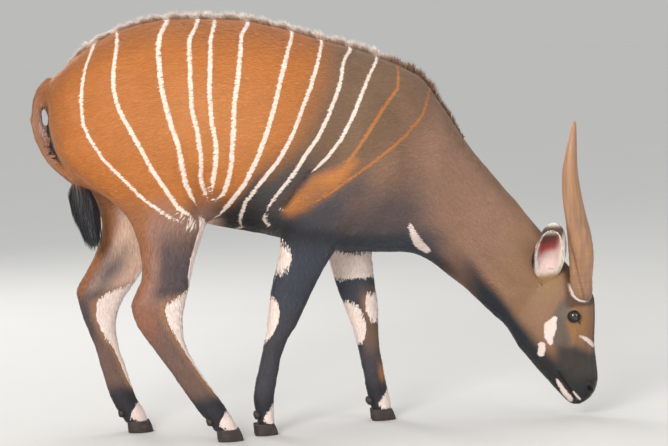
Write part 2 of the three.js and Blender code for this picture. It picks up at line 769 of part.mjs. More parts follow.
// The neck's turn: a place beyond its start moves along an arc, and beyond its end straight on
function turnNeck(x, y) {
  const { from, to, angle } = NECK_TURN;
  if (x <= from) return [x, y];
  const radius = (to - from) / angle;
  const heading = -angle * Math.min(1, (x - from) / (to - from));
  const beyond = Math.max(0, x - to);
  const centerX = from - radius * Math.sin(heading) + beyond * Math.cos(heading);
  const centerY = -radius * (1 - Math.cos(heading)) + beyond * Math.sin(heading);
  return [centerX - y * Math.sin(heading), centerY + y * Math.cos(heading)];
}

// Colours and finish of each kind of node
const LOOKS = {
  torso: [0xb5692f, 0.75],
  neck: [0x8a6852, 0.78],
  head: [0x7a5c48, 0.75],
  leg: [0x55504f, 0.75],
  shank: [0x4a4848, 0.75],
  hoof: [0x2b2927, 0.5],
  dewclaw: [0x2b2927, 0.55],
  eye: [0x0c0908, 0.08],
  ear: [0x9a6a52, 0.8],
  horn: [0x6f4a36, 0.45],
  tail: [0x8a5f4a, 0.8],
  tuft: [0x16161c, 0.7],
};
function lookOf(name) {
  const kind = Object.keys(LOOKS).reverse().find((key) => name.includes(key));
  const [color, roughness] = LOOKS[kind];
  return new THREE.MeshStandardMaterial({ color, roughness, metalness: 0 });
}

// The whole animal, centred over its own box
const animal = new THREE.Group();
for (const [name, solid] of nodes) {
  const { vertProperties, triVerts } = solid.getMesh();
  const position = new Float32Array(vertProperties);
  for (let i = 0; i < position.length; i += 3) {
    [position[i], position[i + 1]] = turnNeck(position[i], position[i + 1]);
  }
  const geometry = new THREE.BufferGeometry();
  geometry.setAttribute("position", new THREE.BufferAttribute(position, 3));
  geometry.setIndex([...triVerts]);
  geometry.computeVertexNormals();
  const mesh = new THREE.Mesh(geometry, lookOf(name));
  mesh.name = name;
  animal.add(mesh);
}
const bounds = new THREE.Box3().setFromObject(animal);
const middle = bounds.getCenter(new THREE.Vector3());
animal.position.set(-middle.x, -middle.y, 0);

export default animal;
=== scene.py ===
"""A life-size still model of a bongo antelope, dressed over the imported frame."""
import json
import math
from contextlib import contextmanager

import bpy
import numpy as np
from bpy.props import FloatProperty, FloatVectorProperty, IntProperty, PointerProperty
from mathutils import Matrix, Vector
from mathutils.bvhtree import BVHTree

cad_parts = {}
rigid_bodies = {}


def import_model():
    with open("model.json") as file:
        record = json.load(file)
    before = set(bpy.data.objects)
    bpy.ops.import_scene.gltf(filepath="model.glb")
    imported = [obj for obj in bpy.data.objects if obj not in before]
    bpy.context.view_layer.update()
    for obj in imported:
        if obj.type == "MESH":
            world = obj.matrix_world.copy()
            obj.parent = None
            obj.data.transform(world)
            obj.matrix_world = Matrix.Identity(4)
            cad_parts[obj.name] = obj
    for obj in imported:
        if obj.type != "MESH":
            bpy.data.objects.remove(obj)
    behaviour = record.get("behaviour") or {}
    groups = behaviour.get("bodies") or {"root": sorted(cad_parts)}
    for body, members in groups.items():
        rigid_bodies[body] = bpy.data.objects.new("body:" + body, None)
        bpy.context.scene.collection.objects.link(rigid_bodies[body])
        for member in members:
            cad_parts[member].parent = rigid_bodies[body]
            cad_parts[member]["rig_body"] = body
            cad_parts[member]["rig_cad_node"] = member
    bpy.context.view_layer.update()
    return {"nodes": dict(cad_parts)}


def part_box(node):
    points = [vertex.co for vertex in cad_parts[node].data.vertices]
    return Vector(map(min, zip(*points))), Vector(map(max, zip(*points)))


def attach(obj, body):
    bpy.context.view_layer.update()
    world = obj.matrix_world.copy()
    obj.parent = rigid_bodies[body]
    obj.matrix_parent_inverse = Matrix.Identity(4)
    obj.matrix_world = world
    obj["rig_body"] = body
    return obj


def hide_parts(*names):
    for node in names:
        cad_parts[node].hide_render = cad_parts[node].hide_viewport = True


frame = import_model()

bl_info = {
    "name": "Bongo antelope",
    "version": (1, 0, 0),
    "blender": (4, 5, 0),
    "location": "3D View > Sidebar > Bongo",
    "description": "Skin, striped coat, crest, horns, eyes and hooves of a standing bongo antelope",
    "category": "Object",
}

SIDES = {"right": -1, "left": 1}


def srgb(red, green, blue):
    """The linear colour of an 8-bit display colour."""
    return tuple(((v / 255 + 0.055) / 1.055) ** 2.4 for v in (red, green, blue))


# Colours that a user would change
COLOURS = {
    "chestnut": ("Flank coat", srgb(182, 108, 46)),
    "back_coat_and_shade": ("Darker coat and painted shade along the back", srgb(155, 94, 46)),
    "barrel_highlight": ("Painted highlight of the barrel", srgb(198, 130, 74)),
    "umber": ("Coat between the last stripes", srgb(121, 93, 70)),
    "mauve": ("Neck and shoulder coat", srgb(146, 111, 91)),
    "flank": ("Lower flank", srgb(72, 66, 64)),
    "belly": ("Belly", srgb(24, 21, 21)),
    "throat": ("Throat", srgb(36, 42, 50)),
    "thigh": ("Thigh", srgb(152, 115, 99)),
    "slate": ("Lower legs", srgb(66, 64, 70)),
    "slate_fore": ("Upper fore leg", srgb(62, 66, 76)),
    "fetlock": ("Fetlocks", srgb(44, 43, 48)),
    "rear_edge": ("Rear edge of the hind legs", srgb(152, 100, 66)),
    "hock": ("Hock", srgb(150, 100, 78)),
    "cannon": ("Hind cannon", srgb(116, 90, 80)),
    "tan": ("Tan border of the white patches", srgb(164, 120, 86)),
    "inner_thigh": ("Inner thigh", srgb(232, 194, 170)),
    "stripe": ("Body stripes", srgb(244, 226, 212)),
    "orange_stripe": ("Two orange stripes", srgb(184, 116, 62)),
    "patch": ("White patches", srgb(246, 226, 216)),
    "elbow": ("Patch behind the elbow", srgb(200, 126, 60)),
    "face": ("Face", srgb(146, 110, 84)),
    "cheek": ("Cheek", srgb(152, 116, 88)),
    "ear_base": ("Round the ear", srgb(160, 124, 86)),
    "forehead": ("Forehead", srgb(88, 62, 48)),
    "eye_round": ("Round the eye", srgb(154, 112, 70)),
    "face_band": ("Grey band of the face", srgb(106, 95, 87)),
    "muzzle": ("Muzzle", srgb(66, 60, 56)),
    "jaw": ("Jaw", srgb(38, 40, 41)),
    "nose": ("Nose pad and lips", srgb(30, 27, 28)),
    "tail": ("Tail", srgb(156, 110, 84)),
    "tail_tuft": ("Tail tuft", srgb(30, 31, 40)),
    "ear_back": ("Back of the ear", srgb(92, 64, 48)),
    "ear_top": ("Upper inside of the ear", srgb(178, 66, 62)),
    "ear_inner": ("Lower inside of the ear", srgb(238, 208, 200)),
    "rim_hair": ("Hair at the ear's rim", srgb(255, 246, 232)),
    "horn": ("Horn", srgb(168, 124, 90)),
    "horn_dark": ("Horn streaks", srgb(110, 88, 74)),
    "horn_tip": ("Horn tip", srgb(172, 124, 88)),
    "hoof": ("Hoof", srgb(44, 36, 33)),
    "eye": ("Eye", srgb(30, 18, 12)),
    "lid": ("Eyelid rim", srgb(28, 22, 20)),
    "crest_root": ("Crest at its root", srgb(186, 128, 84)),
    "crest_tip": ("Crest tips", srgb(232, 222, 214)),
    "floor": ("Floor", srgb(202, 200, 196)),
}


class BongoColours(bpy.types.PropertyGroup):
    """Colours of the coat, horns, eyes and hooves"""

    __annotations__ = {
        key: FloatVectorProperty(
            name=label, description="Colour: " + label.lower(), subtype="COLOR", size=3, min=0, max=1, default=rgb
        )
        for key, (label, rgb) in COLOURS.items()
    }


# Sizes that a user would change: label, description and value
SIZES = {
    "skin_voxel": ("Skin mesh", "Edge of the skin's mesh", 0.0088),
    "coat_length": ("Coat length", "Length of a body tuft", 0.0165),
    "coat_width": ("Tuft width", "Width of a body tuft", 0.0027),
    "face_length": ("Face hair", "Length of a face tuft", 0.0085),
    "face_width": ("Face width", "Width of a face tuft", 0.0016),
    "coat_lift": ("Coat lift", "Height of a tuft's tip", 0.0022),
    "crest_height": ("Crest hair", "Length of the crest", 0.036),
    "crest_locks": ("Crest locks", "Number of locks on the crest", 5000),
    "tuft_length": ("Tail tuft", "Length of the tail tuft", 0.205),
    "tuft_locks": ("Tuft locks", "Number of locks in the tail tuft", 2600),
    "eye_radius": ("Eye radius", "Radius of the eyeball", 0.0205),
}


class BongoSizes(bpy.types.PropertyGroup):
    """Sizes of the skin, the coat and the hair"""

    __annotations__ = {
        key: IntProperty(name=label, description=use, default=value) if isinstance(value, int)
        else FloatProperty(name=label, description=use, default=value, unit="LENGTH")
        for key, (label, use, value) in SIZES.items()
    }


def colour(name):
    return np.array(getattr(bpy.context.scene.bongo_colours, name)[:])


def sizes():
    return bpy.context.scene.bongo_sizes


# The neck turns to the animal's right between two places along the body
NECK_FROM, NECK_TO, NECK_ANGLE = 0.388, 0.588, math.radians(13)
NECK_RADIUS = (NECK_TO - NECK_FROM) / NECK_ANGLE
EYE_PLACE = np.array([0.797, 0.064, 0.324])


def turned(s, y):
    """Place and heading in the turned body of a point of the straight body."""
    heading = -NECK_ANGLE * np.clip((s - NECK_FROM) / (NECK_TO - NECK_FROM), 0, 1)
    beyond = np.maximum(0, s - NECK_TO)
    along = NECK_FROM - NECK_RADIUS * np.sin(heading) + beyond * np.cos(heading)
    across = -NECK_RADIUS * (1 - np.cos(heading)) + beyond * np.sin(heading)
    before = s <= NECK_FROM
    return (
        np.where(before, s, along - y * np.sin(heading)),
        np.where(before, y, across + y * np.cos(heading)),
        heading,
    )


EYE_LOW, EYE_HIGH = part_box("eye_right")
SHIFT = float(turned(EYE_PLACE[0], -EYE_PLACE[1])[0]) - (EYE_LOW.x + EYE_HIGH.x) / 2


def bend(points):
    """Points of the straight body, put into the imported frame."""
    x, y, _ = turned(points[..., 0], points[..., 1])
    return np.stack([x - SHIFT, y, points[..., 2]], -1)


def bend_direction(vectors, s):
    heading = turned(s, 0 * s)[2]
    x = vectors[..., 0] * np.cos(heading) - vectors[..., 1] * np.sin(heading)
    y = vectors[..., 0] * np.sin(heading) + vectors[..., 1] * np.cos(heading)
    return np.stack([x, y, vectors[..., 2]], -1)


def straight(points):
    """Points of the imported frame, put into the straight body: s along it, y, z."""
    x, y = points[:, 0] + SHIFT, points[:, 1]
    turn = np.arctan2(x - NECK_FROM, y + NECK_RADIUS)
    s_arc = NECK_FROM + NECK_RADIUS * turn
    y_arc = np.hypot(x - NECK_FROM, y + NECK_RADIUS) - NECK_RADIUS
    end_x = NECK_FROM + NECK_RADIUS * math.sin(NECK_ANGLE)
    end_y = -NECK_RADIUS * (1 - math.cos(NECK_ANGLE))
    cos, sin = math.cos(NECK_ANGLE), -math.sin(NECK_ANGLE)
    ahead = (x - end_x) * cos + (y - end_y) * sin
    aside = -(x - end_x) * sin + (y - end_y) * cos
    before, past = x < NECK_FROM, (ahead > 0) & (x > NECK_FROM)
    s = np.where(before, x, np.where(past, NECK_TO + ahead, s_arc))
    return np.stack([s, np.where(before, y, np.where(past, aside, y_arc)), points[:, 2]], -1)


# Lines of the straight body, in millimetres: s and z
def table(*pairs):
    return np.array(pairs, float) / 1000


BACK = table(
    (-803, 1085), (-731, 1178), (-606, 1250), (-452, 1288), (-207, 1277), (-24, 1228), (150, 1174), (285, 1116),
    (345, 1080), (400, 995), (456, 902), (515, 820), (632, 674), (722, 560), (752, 515),
)
UNDER = table(
    (-655, 758), (-530, 706), (-325, 652), (-125, 605), (55, 556), (285, 536), (412, 455), (482, 395), (560, 312),
    (609, 240), (661, 171), (713, 108), (757, 58), (787, 42),
)
AXIS = table(
    (-800, 1050), (-600, 1000), (-330, 970), (-30, 900), (220, 840), (345, 800), (450, 660), (560, 530), (680, 420),
    (730, 310), (760, 200), (800, 70),
)
STRIPES = [
    table((-663, 1203), (-684, 1160), (-699, 1101), (-705, 1042), (-702, 983), (-684, 938), (-648, 878), (-589, 815),
          (-532, 753), (-474, 711), (-416, 677)),
    table((-589, 1242), (-591, 1216), (-605, 1142), (-608, 1084), (-594, 1024), (-564, 963), (-534, 903), (-505, 842),
          (-466, 780), (-432, 724), (-382, 687)),
    table((-441, 1266), (-459, 1240), (-468, 1196), (-467, 1122), (-462, 1063), (-442, 973), (-424, 913), (-415, 852),
          (-405, 791), (-380, 735)),
    table((-348, 1262), (-373, 1222), (-379, 1104), (-378, 1015), (-366, 955), (-358, 874), (-360, 801), (-340, 747)),
    table((-296, 1260), (-310, 1219), (-324, 1072), (-323, 983), (-312, 908), (-314, 863), (-324, 800), (-328, 766)),
    table((-195, 1256), (-215, 1230), (-235, 1112), (-253, 1025), (-260, 936), (-270, 844), (-280, 798), (-295, 758),
          (-316, 743)),
    table((-56, 1220), (-76, 1179), (-110, 1086), (-130, 1019), (-158, 940), (-189, 867), (-229, 790), (-268, 738),
          (-306, 690)),
    table((27, 1175), (12, 1139), (-15, 1072), (-48, 1003), (-83, 924), (-126, 855), (-185, 788), (-230, 731),
          (-241, 689), (-244, 670), (-236, 650)),
    table((117, 1164), (95, 1141), (74, 1068), (33, 981), (-4, 917), (-47, 863), (-82, 810), (-122, 764), (-149, 728),
          (-161, 696), (-160, 675), (-150, 660)),
    table((197, 1130), (171, 1093), (137, 1036), (104, 969), (68, 907), (20, 853), (-27, 813)),
    table((264, 1097), (256, 1050), (199, 991), (150, 925), (98, 855), (67, 818)),
    table((352, 1014), (328, 965), (272, 911), (206, 865), (139, 820), (65, 775), (-10, 724)),
]
STRIPE_HALF = 1.12 * np.array([4.2, 5.8, 7.6, 6.4, 6.2, 6.8, 6.3, 5.4, 5.2, 4.8, 4.8, 4.0]) / 1000
STRIPE_END = np.array([line[-1] for line in STRIPES])
STRIPE_AIM = np.array([(line[-1] - line[-2]) / np.linalg.norm(line[-1] - line[-2]) for line in STRIPES])
OPEN_GAP = 0.085

# White marks of the neck and head, as chains of discs: s, z, radius
CHEST_MARK = [(0.274, 0.636, 0.005), (0.288, 0.600, 0.011), (0.310, 0.565, 0.014), (0.340, 0.540, 0.008)]
CHEEK_MARKS = [
    [(0.738, 0.318, 0.010), (0.724, 0.293, 0.021), (0.719, 0.265, 0.016), (0.723, 0.243, 0.008)],
    [(0.696, 0.236, 0.012), (0.692, 0.208, 0.012)],
    [(0.814, 0.261, 0.005), (0.829, 0.253, 0.0065), (0.843, 0.238, 0.0075), (0.853, 0.224, 0.0055)],
    [(0.788, 0.082, 0.005), (0.803, 0.060, 0.0075)],
    [(0.738, 0.122, 0.005), (0.756, 0.088, 0.010), (0.778, 0.058, 0.010)],
]
TICK = [(-0.128, 0.706, 0.003), (-0.112, 0.700, 0.003)]
MOUTH = [(0.744, 0.146), (0.754, 0.128), (0.766, 0.108), (0.779, 0.086), (0.792, 0.066), (0.803, 0.052)]
NOSTRIL = (0.838, 0.092)

# The patch behind the elbow, the armpit's fold and the grey band of the face
ELBOW = [(0.105, 0.838, 0.004), (0.06, 0.800, 0.020), (0.0, 0.770, 0.035), (-0.06, 0.725, 0.030),
         (-0.095, 0.700, 0.015)]
ARMPIT = [(-0.03, 0.814), (-0.071, 0.767), (-0.110, 0.716)]
FACE_BAND = [(0.775, 0.36, 0.012), (0.748, 0.31, 0.016), (0.757, 0.25, 0.022)]

# Forms pressed into or raised on the skin's sides: line, half width, height
FORMS = [
    ([(0.31, 1.06), (0.26, 0.90), (0.20, 0.72)], 0.045, 0.006),
    ([(0.16, 1.08), (0.06, 0.85), (-0.03, 0.80)], 0.034, -0.006),
    (ARMPIT, 0.011, -0.006),
    ([(0.05, 0.78), (0.03, 0.72)], 0.055, 0.006),
    ([(0.20, 0.72), (0.10, 0.62)], 0.030, 0.004),
    ([(-0.56, 1.17), (-0.54, 1.14)], 0.045, 0.007),
    ([(-0.47, 1.10), (-0.45, 1.04)], 0.070, -0.009),
    ([(-0.74, 1.05), (-0.73, 1.00)], 0.035, 0.005),
    ([(-0.52, 1.05), (-0.42, 0.80), (-0.40, 0.70)], 0.040, 0.006),
    ([(-0.34, 0.82), (-0.37, 0.70)], 0.028, -0.008),
    ([(-0.70, 1.05), (-0.62, 0.85), (-0.54, 0.70)], 0.028, -0.005),
    ([(-0.53, 0.53), (-0.48, 0.445)], 0.012, -0.003),
    ([(0.62, 0.42), (0.52, 0.52), (0.42, 0.62)], 0.022, -0.004),
    ([(0.66, 0.50), (0.52, 0.66), (0.38, 0.80)], 0.045, 0.004),
    ([(0.36, 0.98), (0.33, 0.80), (0.30, 0.66)], 0.030, -0.004),
    ([(0.800, 0.275), (0.790, 0.20), (0.785, 0.16)], 0.010, 0.0032),
    ([(0.705, 0.31), (0.695, 0.27)], 0.042, 0.006),
    ([(0.765, 0.235), (0.755, 0.18)], 0.018, -0.0035),
    ([(0.835, 0.23), (0.832, 0.15)], 0.008, -0.0025),
    ([(0.775, 0.372), (0.760, 0.345)], 0.016, -0.004),
    ([(0.790, 0.358), (0.815, 0.352)], 0.009, 0.003),
    ([(0.772, 0.062), (0.765, 0.075)], 0.012, 0.003),
    ([(0.65, 0.235), (0.69, 0.18), (0.73, 0.14)], 0.012, 0.003),
]

EAR = dict(length=0.190, half=0.052, depth=0.036, wall=0.005, root=(0.722, 0.066, 0.438), sink=0.016, bow=0.008)
EAR_AIM = np.array([0.09, 0.42, 0.9])
EAR_OPEN = np.array([0.3, 0.86, 0.0])
HORN_LINE = np.array([
    (360, 812, 36, 24, 22), (386, 820, 41, 35, 30), (436, 822, 48, 37, 32), (500, 825, 58, 40, 33),
    (560, 821, 70, 38, 31), (620, 812, 82, 33, 27), (690, 803, 93, 26.5, 23), (760, 799, 99, 21, 19),
    (820, 803, 98, 16, 15), (870, 809, 92, 11, 11), (908, 814, 84, 6, 6), (920, 815.5, 81, 2.5, 2.5),
]) / 1000
TAIL = table((-760, 1120), (-806, 1100), (-838, 1062), (-844, 1000), (-831, 930), (-803, 874), (-758, 824), (-700, 775))
TUFT_TOP = np.array([-0.700, 0.012, 0.775])
HORN_FOOT, HORN_RISE = 0.360, 0.560
# Numbers of tufts and hairs
TUFTS = {"coat_ears": 7000, "coat_head": 21000, "coat_hind_legs": 19500, "coat_fore_legs": 15500}
BODY_TUFTS, EAR_HAIRS, LASHES = 19000, 1300, 70
ROOT_DEPTH, PATCH_RADIUS = 0.0012, 0.0017
FAR = 9.0  # Farther off than any point of the model


# Small mathematics on arrays
def ramp(value, start, end):
    """A smooth step from 0 at start to 1 at end, which may lie either way."""
    t = np.clip((value - start) / (end - start), 0, 1)
    return t * t * (3 - 2 * t)


def bell(value, middle, width):
    return np.exp(-(((value - middle) / width) ** 2))


def unit(vectors):
    return vectors / np.maximum(np.linalg.norm(vectors, axis=-1, keepdims=True), 1e-9)


def dot(a, b):
    return (a * b).sum(-1)


def square_to(vectors, axes):
    """Unit vectors, less what lies along the axes."""
    return unit(vectors - dot(vectors, axes)[..., None] * axes)


def wrap(angle):
    """The same angle from -pi to pi."""
    return np.arctan2(np.sin(angle), np.cos(angle))


def segment(s, z, a, b):
    """Share of the way from a to b where the line is nearest, and the distance to it."""
    d = b - a
    f = np.clip(((s - a[0]) * d[0] + (z - a[1]) * d[1]) / (d @ d), 0, 1)
    return f, np.hypot(s - a[0] - f * d[0], z - a[1] - f * d[1])


def chain(s, z, points):
    """Signed distance to a chain of discs, negative inside; a point without a radius has none."""
    best = np.full(np.shape(s), FAR)
    rows = np.array([(*point, 0)[:3] for point in points])
    for a, b in zip(rows, rows[1:]):
        f, away = segment(s, z, a[:2], b[:2])
        best = np.minimum(best, away - (a[2] + f * (b[2] - a[2])))
    return best


def side_of(s, z, line):
    """Signed distance to a line that runs down, positive ahead of it; its ends are drawn out."""
    points = np.vstack([line[0] + unit(line[0] - line[1]) * 0.4, line, line[-1] + unit(line[-1] - line[-2]) * 0.3])
    best, sign = np.full(s.shape, FAR), np.ones(s.shape)
    for a, b in zip(points, points[1:]):
        away = segment(s, z, a, b)[1]
        near, d = away < best, b - a
        best = np.where(near, away, best)
        sign = np.where(near, np.sign(d[0] * (z - a[1]) - d[1] * (s - a[0])), sign)
    return best * sign


def smooth_rows(rows, steps):
    """Rows drawn through by Catmull-Rom curves."""
    padded = np.vstack([2 * rows[0] - rows[1], rows, 2 * rows[-1] - rows[-2]])
    out = []
    for k in range(len(rows) - 1):
        p0, p1, p2, p3 = padded[k:k + 4]
        for t in np.arange(steps) / steps:
            out.append(0.5 * (2 * p1 + (p2 - p0) * t + (2 * p0 - 5 * p1 + 4 * p2 - p3) * t ** 2
                              + (3 * p1 - p0 - 3 * p2 + p3) * t ** 3))
    return np.array(out + [rows[-1]])


def wave(points, seed, size):
    """Slow smooth noise from a few crossed sines, about -1 to 1."""
    rng = np.random.default_rng(seed)
    total = 0
    for _ in range(5):
        way = unit(rng.normal(size=3)) * rng.uniform(0.7, 1.6) * 2 * math.pi / size
        total = total + np.sin(points @ way + rng.uniform(0, 6.28))
    return total / 2.6


# Meshes
def deselect():
    if bpy.context.object and bpy.context.object.mode != "OBJECT":
        bpy.ops.object.mode_set(mode="OBJECT")
    bpy.ops.object.select_all(action="DESELECT")


def choose(*objects):
    deselect()
    for obj in objects:
        obj.select_set(True)
    bpy.context.view_layer.objects.active = objects[0]


def shade_smooth(obj):
    choose(obj)
    bpy.ops.object.shade_smooth()


@contextmanager
def editing(obj):
    """Edit mode with the whole mesh selected."""
    choose(obj)
    bpy.ops.object.mode_set(mode="EDIT")
    bpy.ops.mesh.select_all(action="SELECT")
    yield
    bpy.ops.object.mode_set(mode="OBJECT")


def read(items, key, kind=float):
    """Three numbers of each item."""
    out = np.empty(len(items) * 3, kind)
    items.foreach_get(key, out)
    return out.reshape(-1, 3)


def positions(mesh):
    return read(mesh.vertices, "co")


def place(mesh, points):
    mesh.vertices.foreach_set("co", np.ascontiguousarray(points, np.float32).ravel())
    mesh.update()


def vertex_normals(mesh):
    return read(mesh.vertices, "normal")


def triangles(mesh):
    mesh.calc_loop_triangles()
    return read(mesh.loop_triangles, "vertices", np.int64)


def write_attribute(mesh, name, values):
    """Vertex attribute of three numbers."""
    layer = mesh.attributes.new(name, "FLOAT_VECTOR", "POINT")
    layer.data.foreach_set("vector", np.ascontiguousarray(values, np.float32).ravel())


def new_mesh(name, points, faces):
    mesh = bpy.data.meshes.new(name)
    mesh.vertices.add(len(points))
    mesh.vertices.foreach_set("co", np.ascontiguousarray(points, np.float32).ravel())
    mesh.loops.add(faces.size)
    mesh.loops.foreach_set("vertex_index", np.ascontiguousarray(faces, np.int32).ravel())
    mesh.polygons.add(len(faces))
    mesh.polygons.foreach_set("loop_start", np.arange(0, faces.size, faces.shape[1], dtype=np.int32))
    mesh.update(calc_edges=True)
    mesh.polygons.foreach_set("use_smooth", np.ones(len(faces), bool))
    obj = bpy.data.objects.new(name, mesh)
    bpy.context.scene.collection.objects.link(obj)
    return obj


def copy_node(name):
    """A merged copy of a CAD node, free of the frame."""
    source = frame["nodes"][name]
    copy = source.copy()
    copy.data = source.data.copy()
    copy.data.materials.clear()
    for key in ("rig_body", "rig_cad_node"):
        if key in copy:
            del copy[key]
    copy.parent = None
    copy.matrix_world = Matrix.Identity(4)
    bpy.context.scene.collection.objects.link(copy)
    with editing(copy):
        bpy.ops.mesh.remove_doubles(threshold=0.00005)
    return copy


def shaped_grid(name, place_points, around, along):
    """A grid primitive rolled into a closed tube by place_points(turn, rise), its seam merged and its ends filled."""
    deselect()
    bpy.ops.mesh.primitive_grid_add(x_subdivisions=around, y_subdivisions=along, size=2)
    obj = bpy.context.object
    obj.name = obj.data.name = name
    flat = positions(obj.data)
    place(obj.data, place_points((flat[:, 0] + 1) / 2 * 2 * math.pi, (flat[:, 1] + 1) / 2))
    with editing(obj):
        bpy.ops.mesh.remove_doubles(threshold=0.00002)
        bpy.ops.mesh.select_all(action="DESELECT")
        bpy.ops.mesh.select_mode(type="VERT")
        bpy.ops.mesh.select_non_manifold()
        bpy.ops.mesh.edge_face_add()
        bpy.ops.mesh.select_all(action="SELECT")
        bpy.ops.mesh.normals_make_consistent(inside=False)
    shade_smooth(obj)
    return obj


def apply_modifier(obj, kind, **settings):
    choose(obj)
    modifier = obj.modifiers.new(kind.lower(), kind)
    for key, value in settings.items():
        setattr(modifier, key, value)
    bpy.ops.object.modifier_apply(modifier=modifier.name)


def finish_piece(obj, material, slot, *nodes):
    """Material, body and the CAD nodes that a piece stands for. The slot is not used."""
    obj.data.materials.clear()
    obj.data.materials.append(material)
    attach(obj, "root")
    if nodes:
        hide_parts(*nodes)
    if len(obj.data.polygons) < 10:
        raise RuntimeError(f"{obj.name} came out empty")
    return obj


# Shader maths
class Value:
    """A shader socket that arithmetic works on."""

    def __init__(self, finish, socket):
        self.finish, self.socket = finish, socket

    def __add__(self, other):
        return self.finish.maths("ADD", self, other)

    def __sub__(self, other):
        return self.finish.maths("SUBTRACT", self, other)

    def __rsub__(self, other):
        return self.finish.maths("SUBTRACT", other, self)

    def __mul__(self, other):
        return self.finish.maths("MULTIPLY", self, other)

    __radd__, __rmul__ = __add__, __mul__

    def clamp(self):
        return self.finish.maths("ADD", self, 0.0, use_clamp=True)


class Finish:
    """A material built from expressions."""

    def __init__(self, name, **constants):
        self.material = bpy.data.materials.new(name)
        self.material.use_nodes = True
        self.tree = self.material.node_tree
        self.tree.nodes.clear()
        self.shader = self.tree.nodes.new("ShaderNodeBsdfPrincipled")
        out = self.tree.nodes.new("ShaderNodeOutputMaterial")
        self.tree.links.new(self.shader.outputs[0], out.inputs["Surface"])
        for key, value in constants.items():
            self.shader.inputs[key.replace("_", " ").title().replace("Ior", "IOR")].default_value = value

    def node(self, kind, settings=None, inputs=None):
        made = self.tree.nodes.new(kind)
        for key, value in (settings or {}).items():
            setattr(made, key, value)
        for key, value in (inputs or {}).items():
            if isinstance(value, Value):
                self.tree.links.new(value.socket, made.inputs[key])
            else:
                made.inputs[key].default_value = value
        return made

    def maths(self, operation, a, b=0.0, c=0.0, use_clamp=False):
        settings = {"operation": operation, "use_clamp": use_clamp}
        return Value(self, self.node("ShaderNodeMath", settings, {0: a, 1: b, 2: c}).outputs[0])

    def step(self, value, start, end):
        """0 at start to 1 at end."""
        return ((value - start) * (1 / (end - start))).clamp()

    def attribute(self, name):
        return Value(self, self.node("ShaderNodeAttribute", {"attribute_name": name}).outputs["Vector"])

    def parts(self, vector):
        split = self.node("ShaderNodeSeparateXYZ", None, {0: vector})
        return [Value(self, socket) for socket in split.outputs]

    def spot(self):
        return Value(self, self.node("ShaderNodeTexCoord").outputs["Object"])

    def mapping(self, scale, rotation=(0, 0, 0), vector=None):
        inputs = {"Vector": vector or self.spot(), "Rotation": rotation, "Scale": scale}
        return Value(self, self.node("ShaderNodeMapping", None, inputs).outputs[0])

    def noise(self, scale, detail=2.0, roughness=0.5, vector=None):
        inputs = {"Vector": vector or self.spot(), "Scale": scale, "Detail": detail, "Roughness": roughness}
        return Value(self, self.node("ShaderNodeTexNoise", None, inputs).outputs[0])

    def mix(self, a, b, factor):
        made = self.node("ShaderNodeMix", {"data_type": "RGBA"})
        for socket, value in ((made.inputs[0], factor), (made.inputs[6], a), (made.inputs[7], b)):
            if isinstance(value, Value):
                self.tree.links.new(value.socket, socket)
            else:
                socket.default_value = value if isinstance(value, float) else (*value, 1)
        return Value(self, made.outputs[2])

    def scale(self, shade, factor):
        made = self.node("ShaderNodeVectorMath", {"operation": "SCALE"}, {0: shade, "Scale": factor})
        return Value(self, made.outputs[0])

    def give(self, socket, value):
        self.tree.links.new(value.socket, self.shader.inputs[socket])

    def bump(self, height, distance, strength=1.0):
        inputs = {"Height": height, "Distance": distance, "Strength": strength}
        self.give("Normal", Value(self, self.node("ShaderNodeBump", None, inputs).outputs[0]))


def coat_finish(name, skin):
    """Coat colour from the tint, with crisp stripes and white patches, darker at the roots."""
    made = Finish(name, specular_ior_level=0.32, sheen_weight=0.12, sheen_roughness=0.45)
    made.shader.inputs["Sheen Tint"].default_value = (1.0, 0.93, 0.86, 1)
    index, gap, half = made.parts(made.attribute("stripe"))
    white, wet, leg = made.parts(made.attribute("marks"))
    tip, shade, _ = made.parts(made.attribute("fur"))
    grain = made.noise(330.0, 2.0, 0.6) - 0.5
    broad = made.noise(60.0, 2.0, 0.5) - 0.5
    near = made.maths("ABSOLUTE", index - made.maths("ROUND", index)) * gap
    stripe = made.step(half + grain * 0.0016 + broad * 0.0008 + 0.0002 - near, -0.0006, 0.0010)
    orange = made.maths("GREATER_THAN", index, 10.5)
    patch = made.step(grain * 0.012 + broad * 0.006 - white, -0.0012, 0.0016)
    cloud = made.noise(9.0, 3.0, 0.6) - 0.5
    fleck = made.noise(420.0, 1.0, 0.5) - 0.5
    tint = made.scale(made.attribute("tint"), 1.0 + cloud * 0.22 + fleck * 0.22)
    line = made.mix(colour("stripe"), colour("orange_stripe"), orange)
    tint = made.mix(tint, line, stripe * 0.96)
    tint = made.mix(tint, colour("patch"), patch * (1.0 - wet))
    if skin:
        tint = made.scale(tint, 0.86 + fleck * 0.2)
        flow = made.mapping((70.0, 420.0, 300.0), (0, 0.12, 0))
        down = made.mapping((420.0, 420.0, 70.0))
        strands = made.noise(1.0, 2.0, 0.6, flow) * (1.0 - leg) + made.noise(1.0, 2.0, 0.6, down) * leg
        pores = made.noise(900.0, 2.0, 0.5)
        made.bump(strands * (1.0 - wet) + pores * wet * 0.5, 0.0012, 0.55)
    else:
        tint = made.scale(tint, 0.82 + tip * 0.22 + (shade - 0.5) * 0.18)
    made.give("Base Color", tint)
    made.give("Roughness", 0.60 - wet * 0.32 + fleck * 0.12)
    return made.material


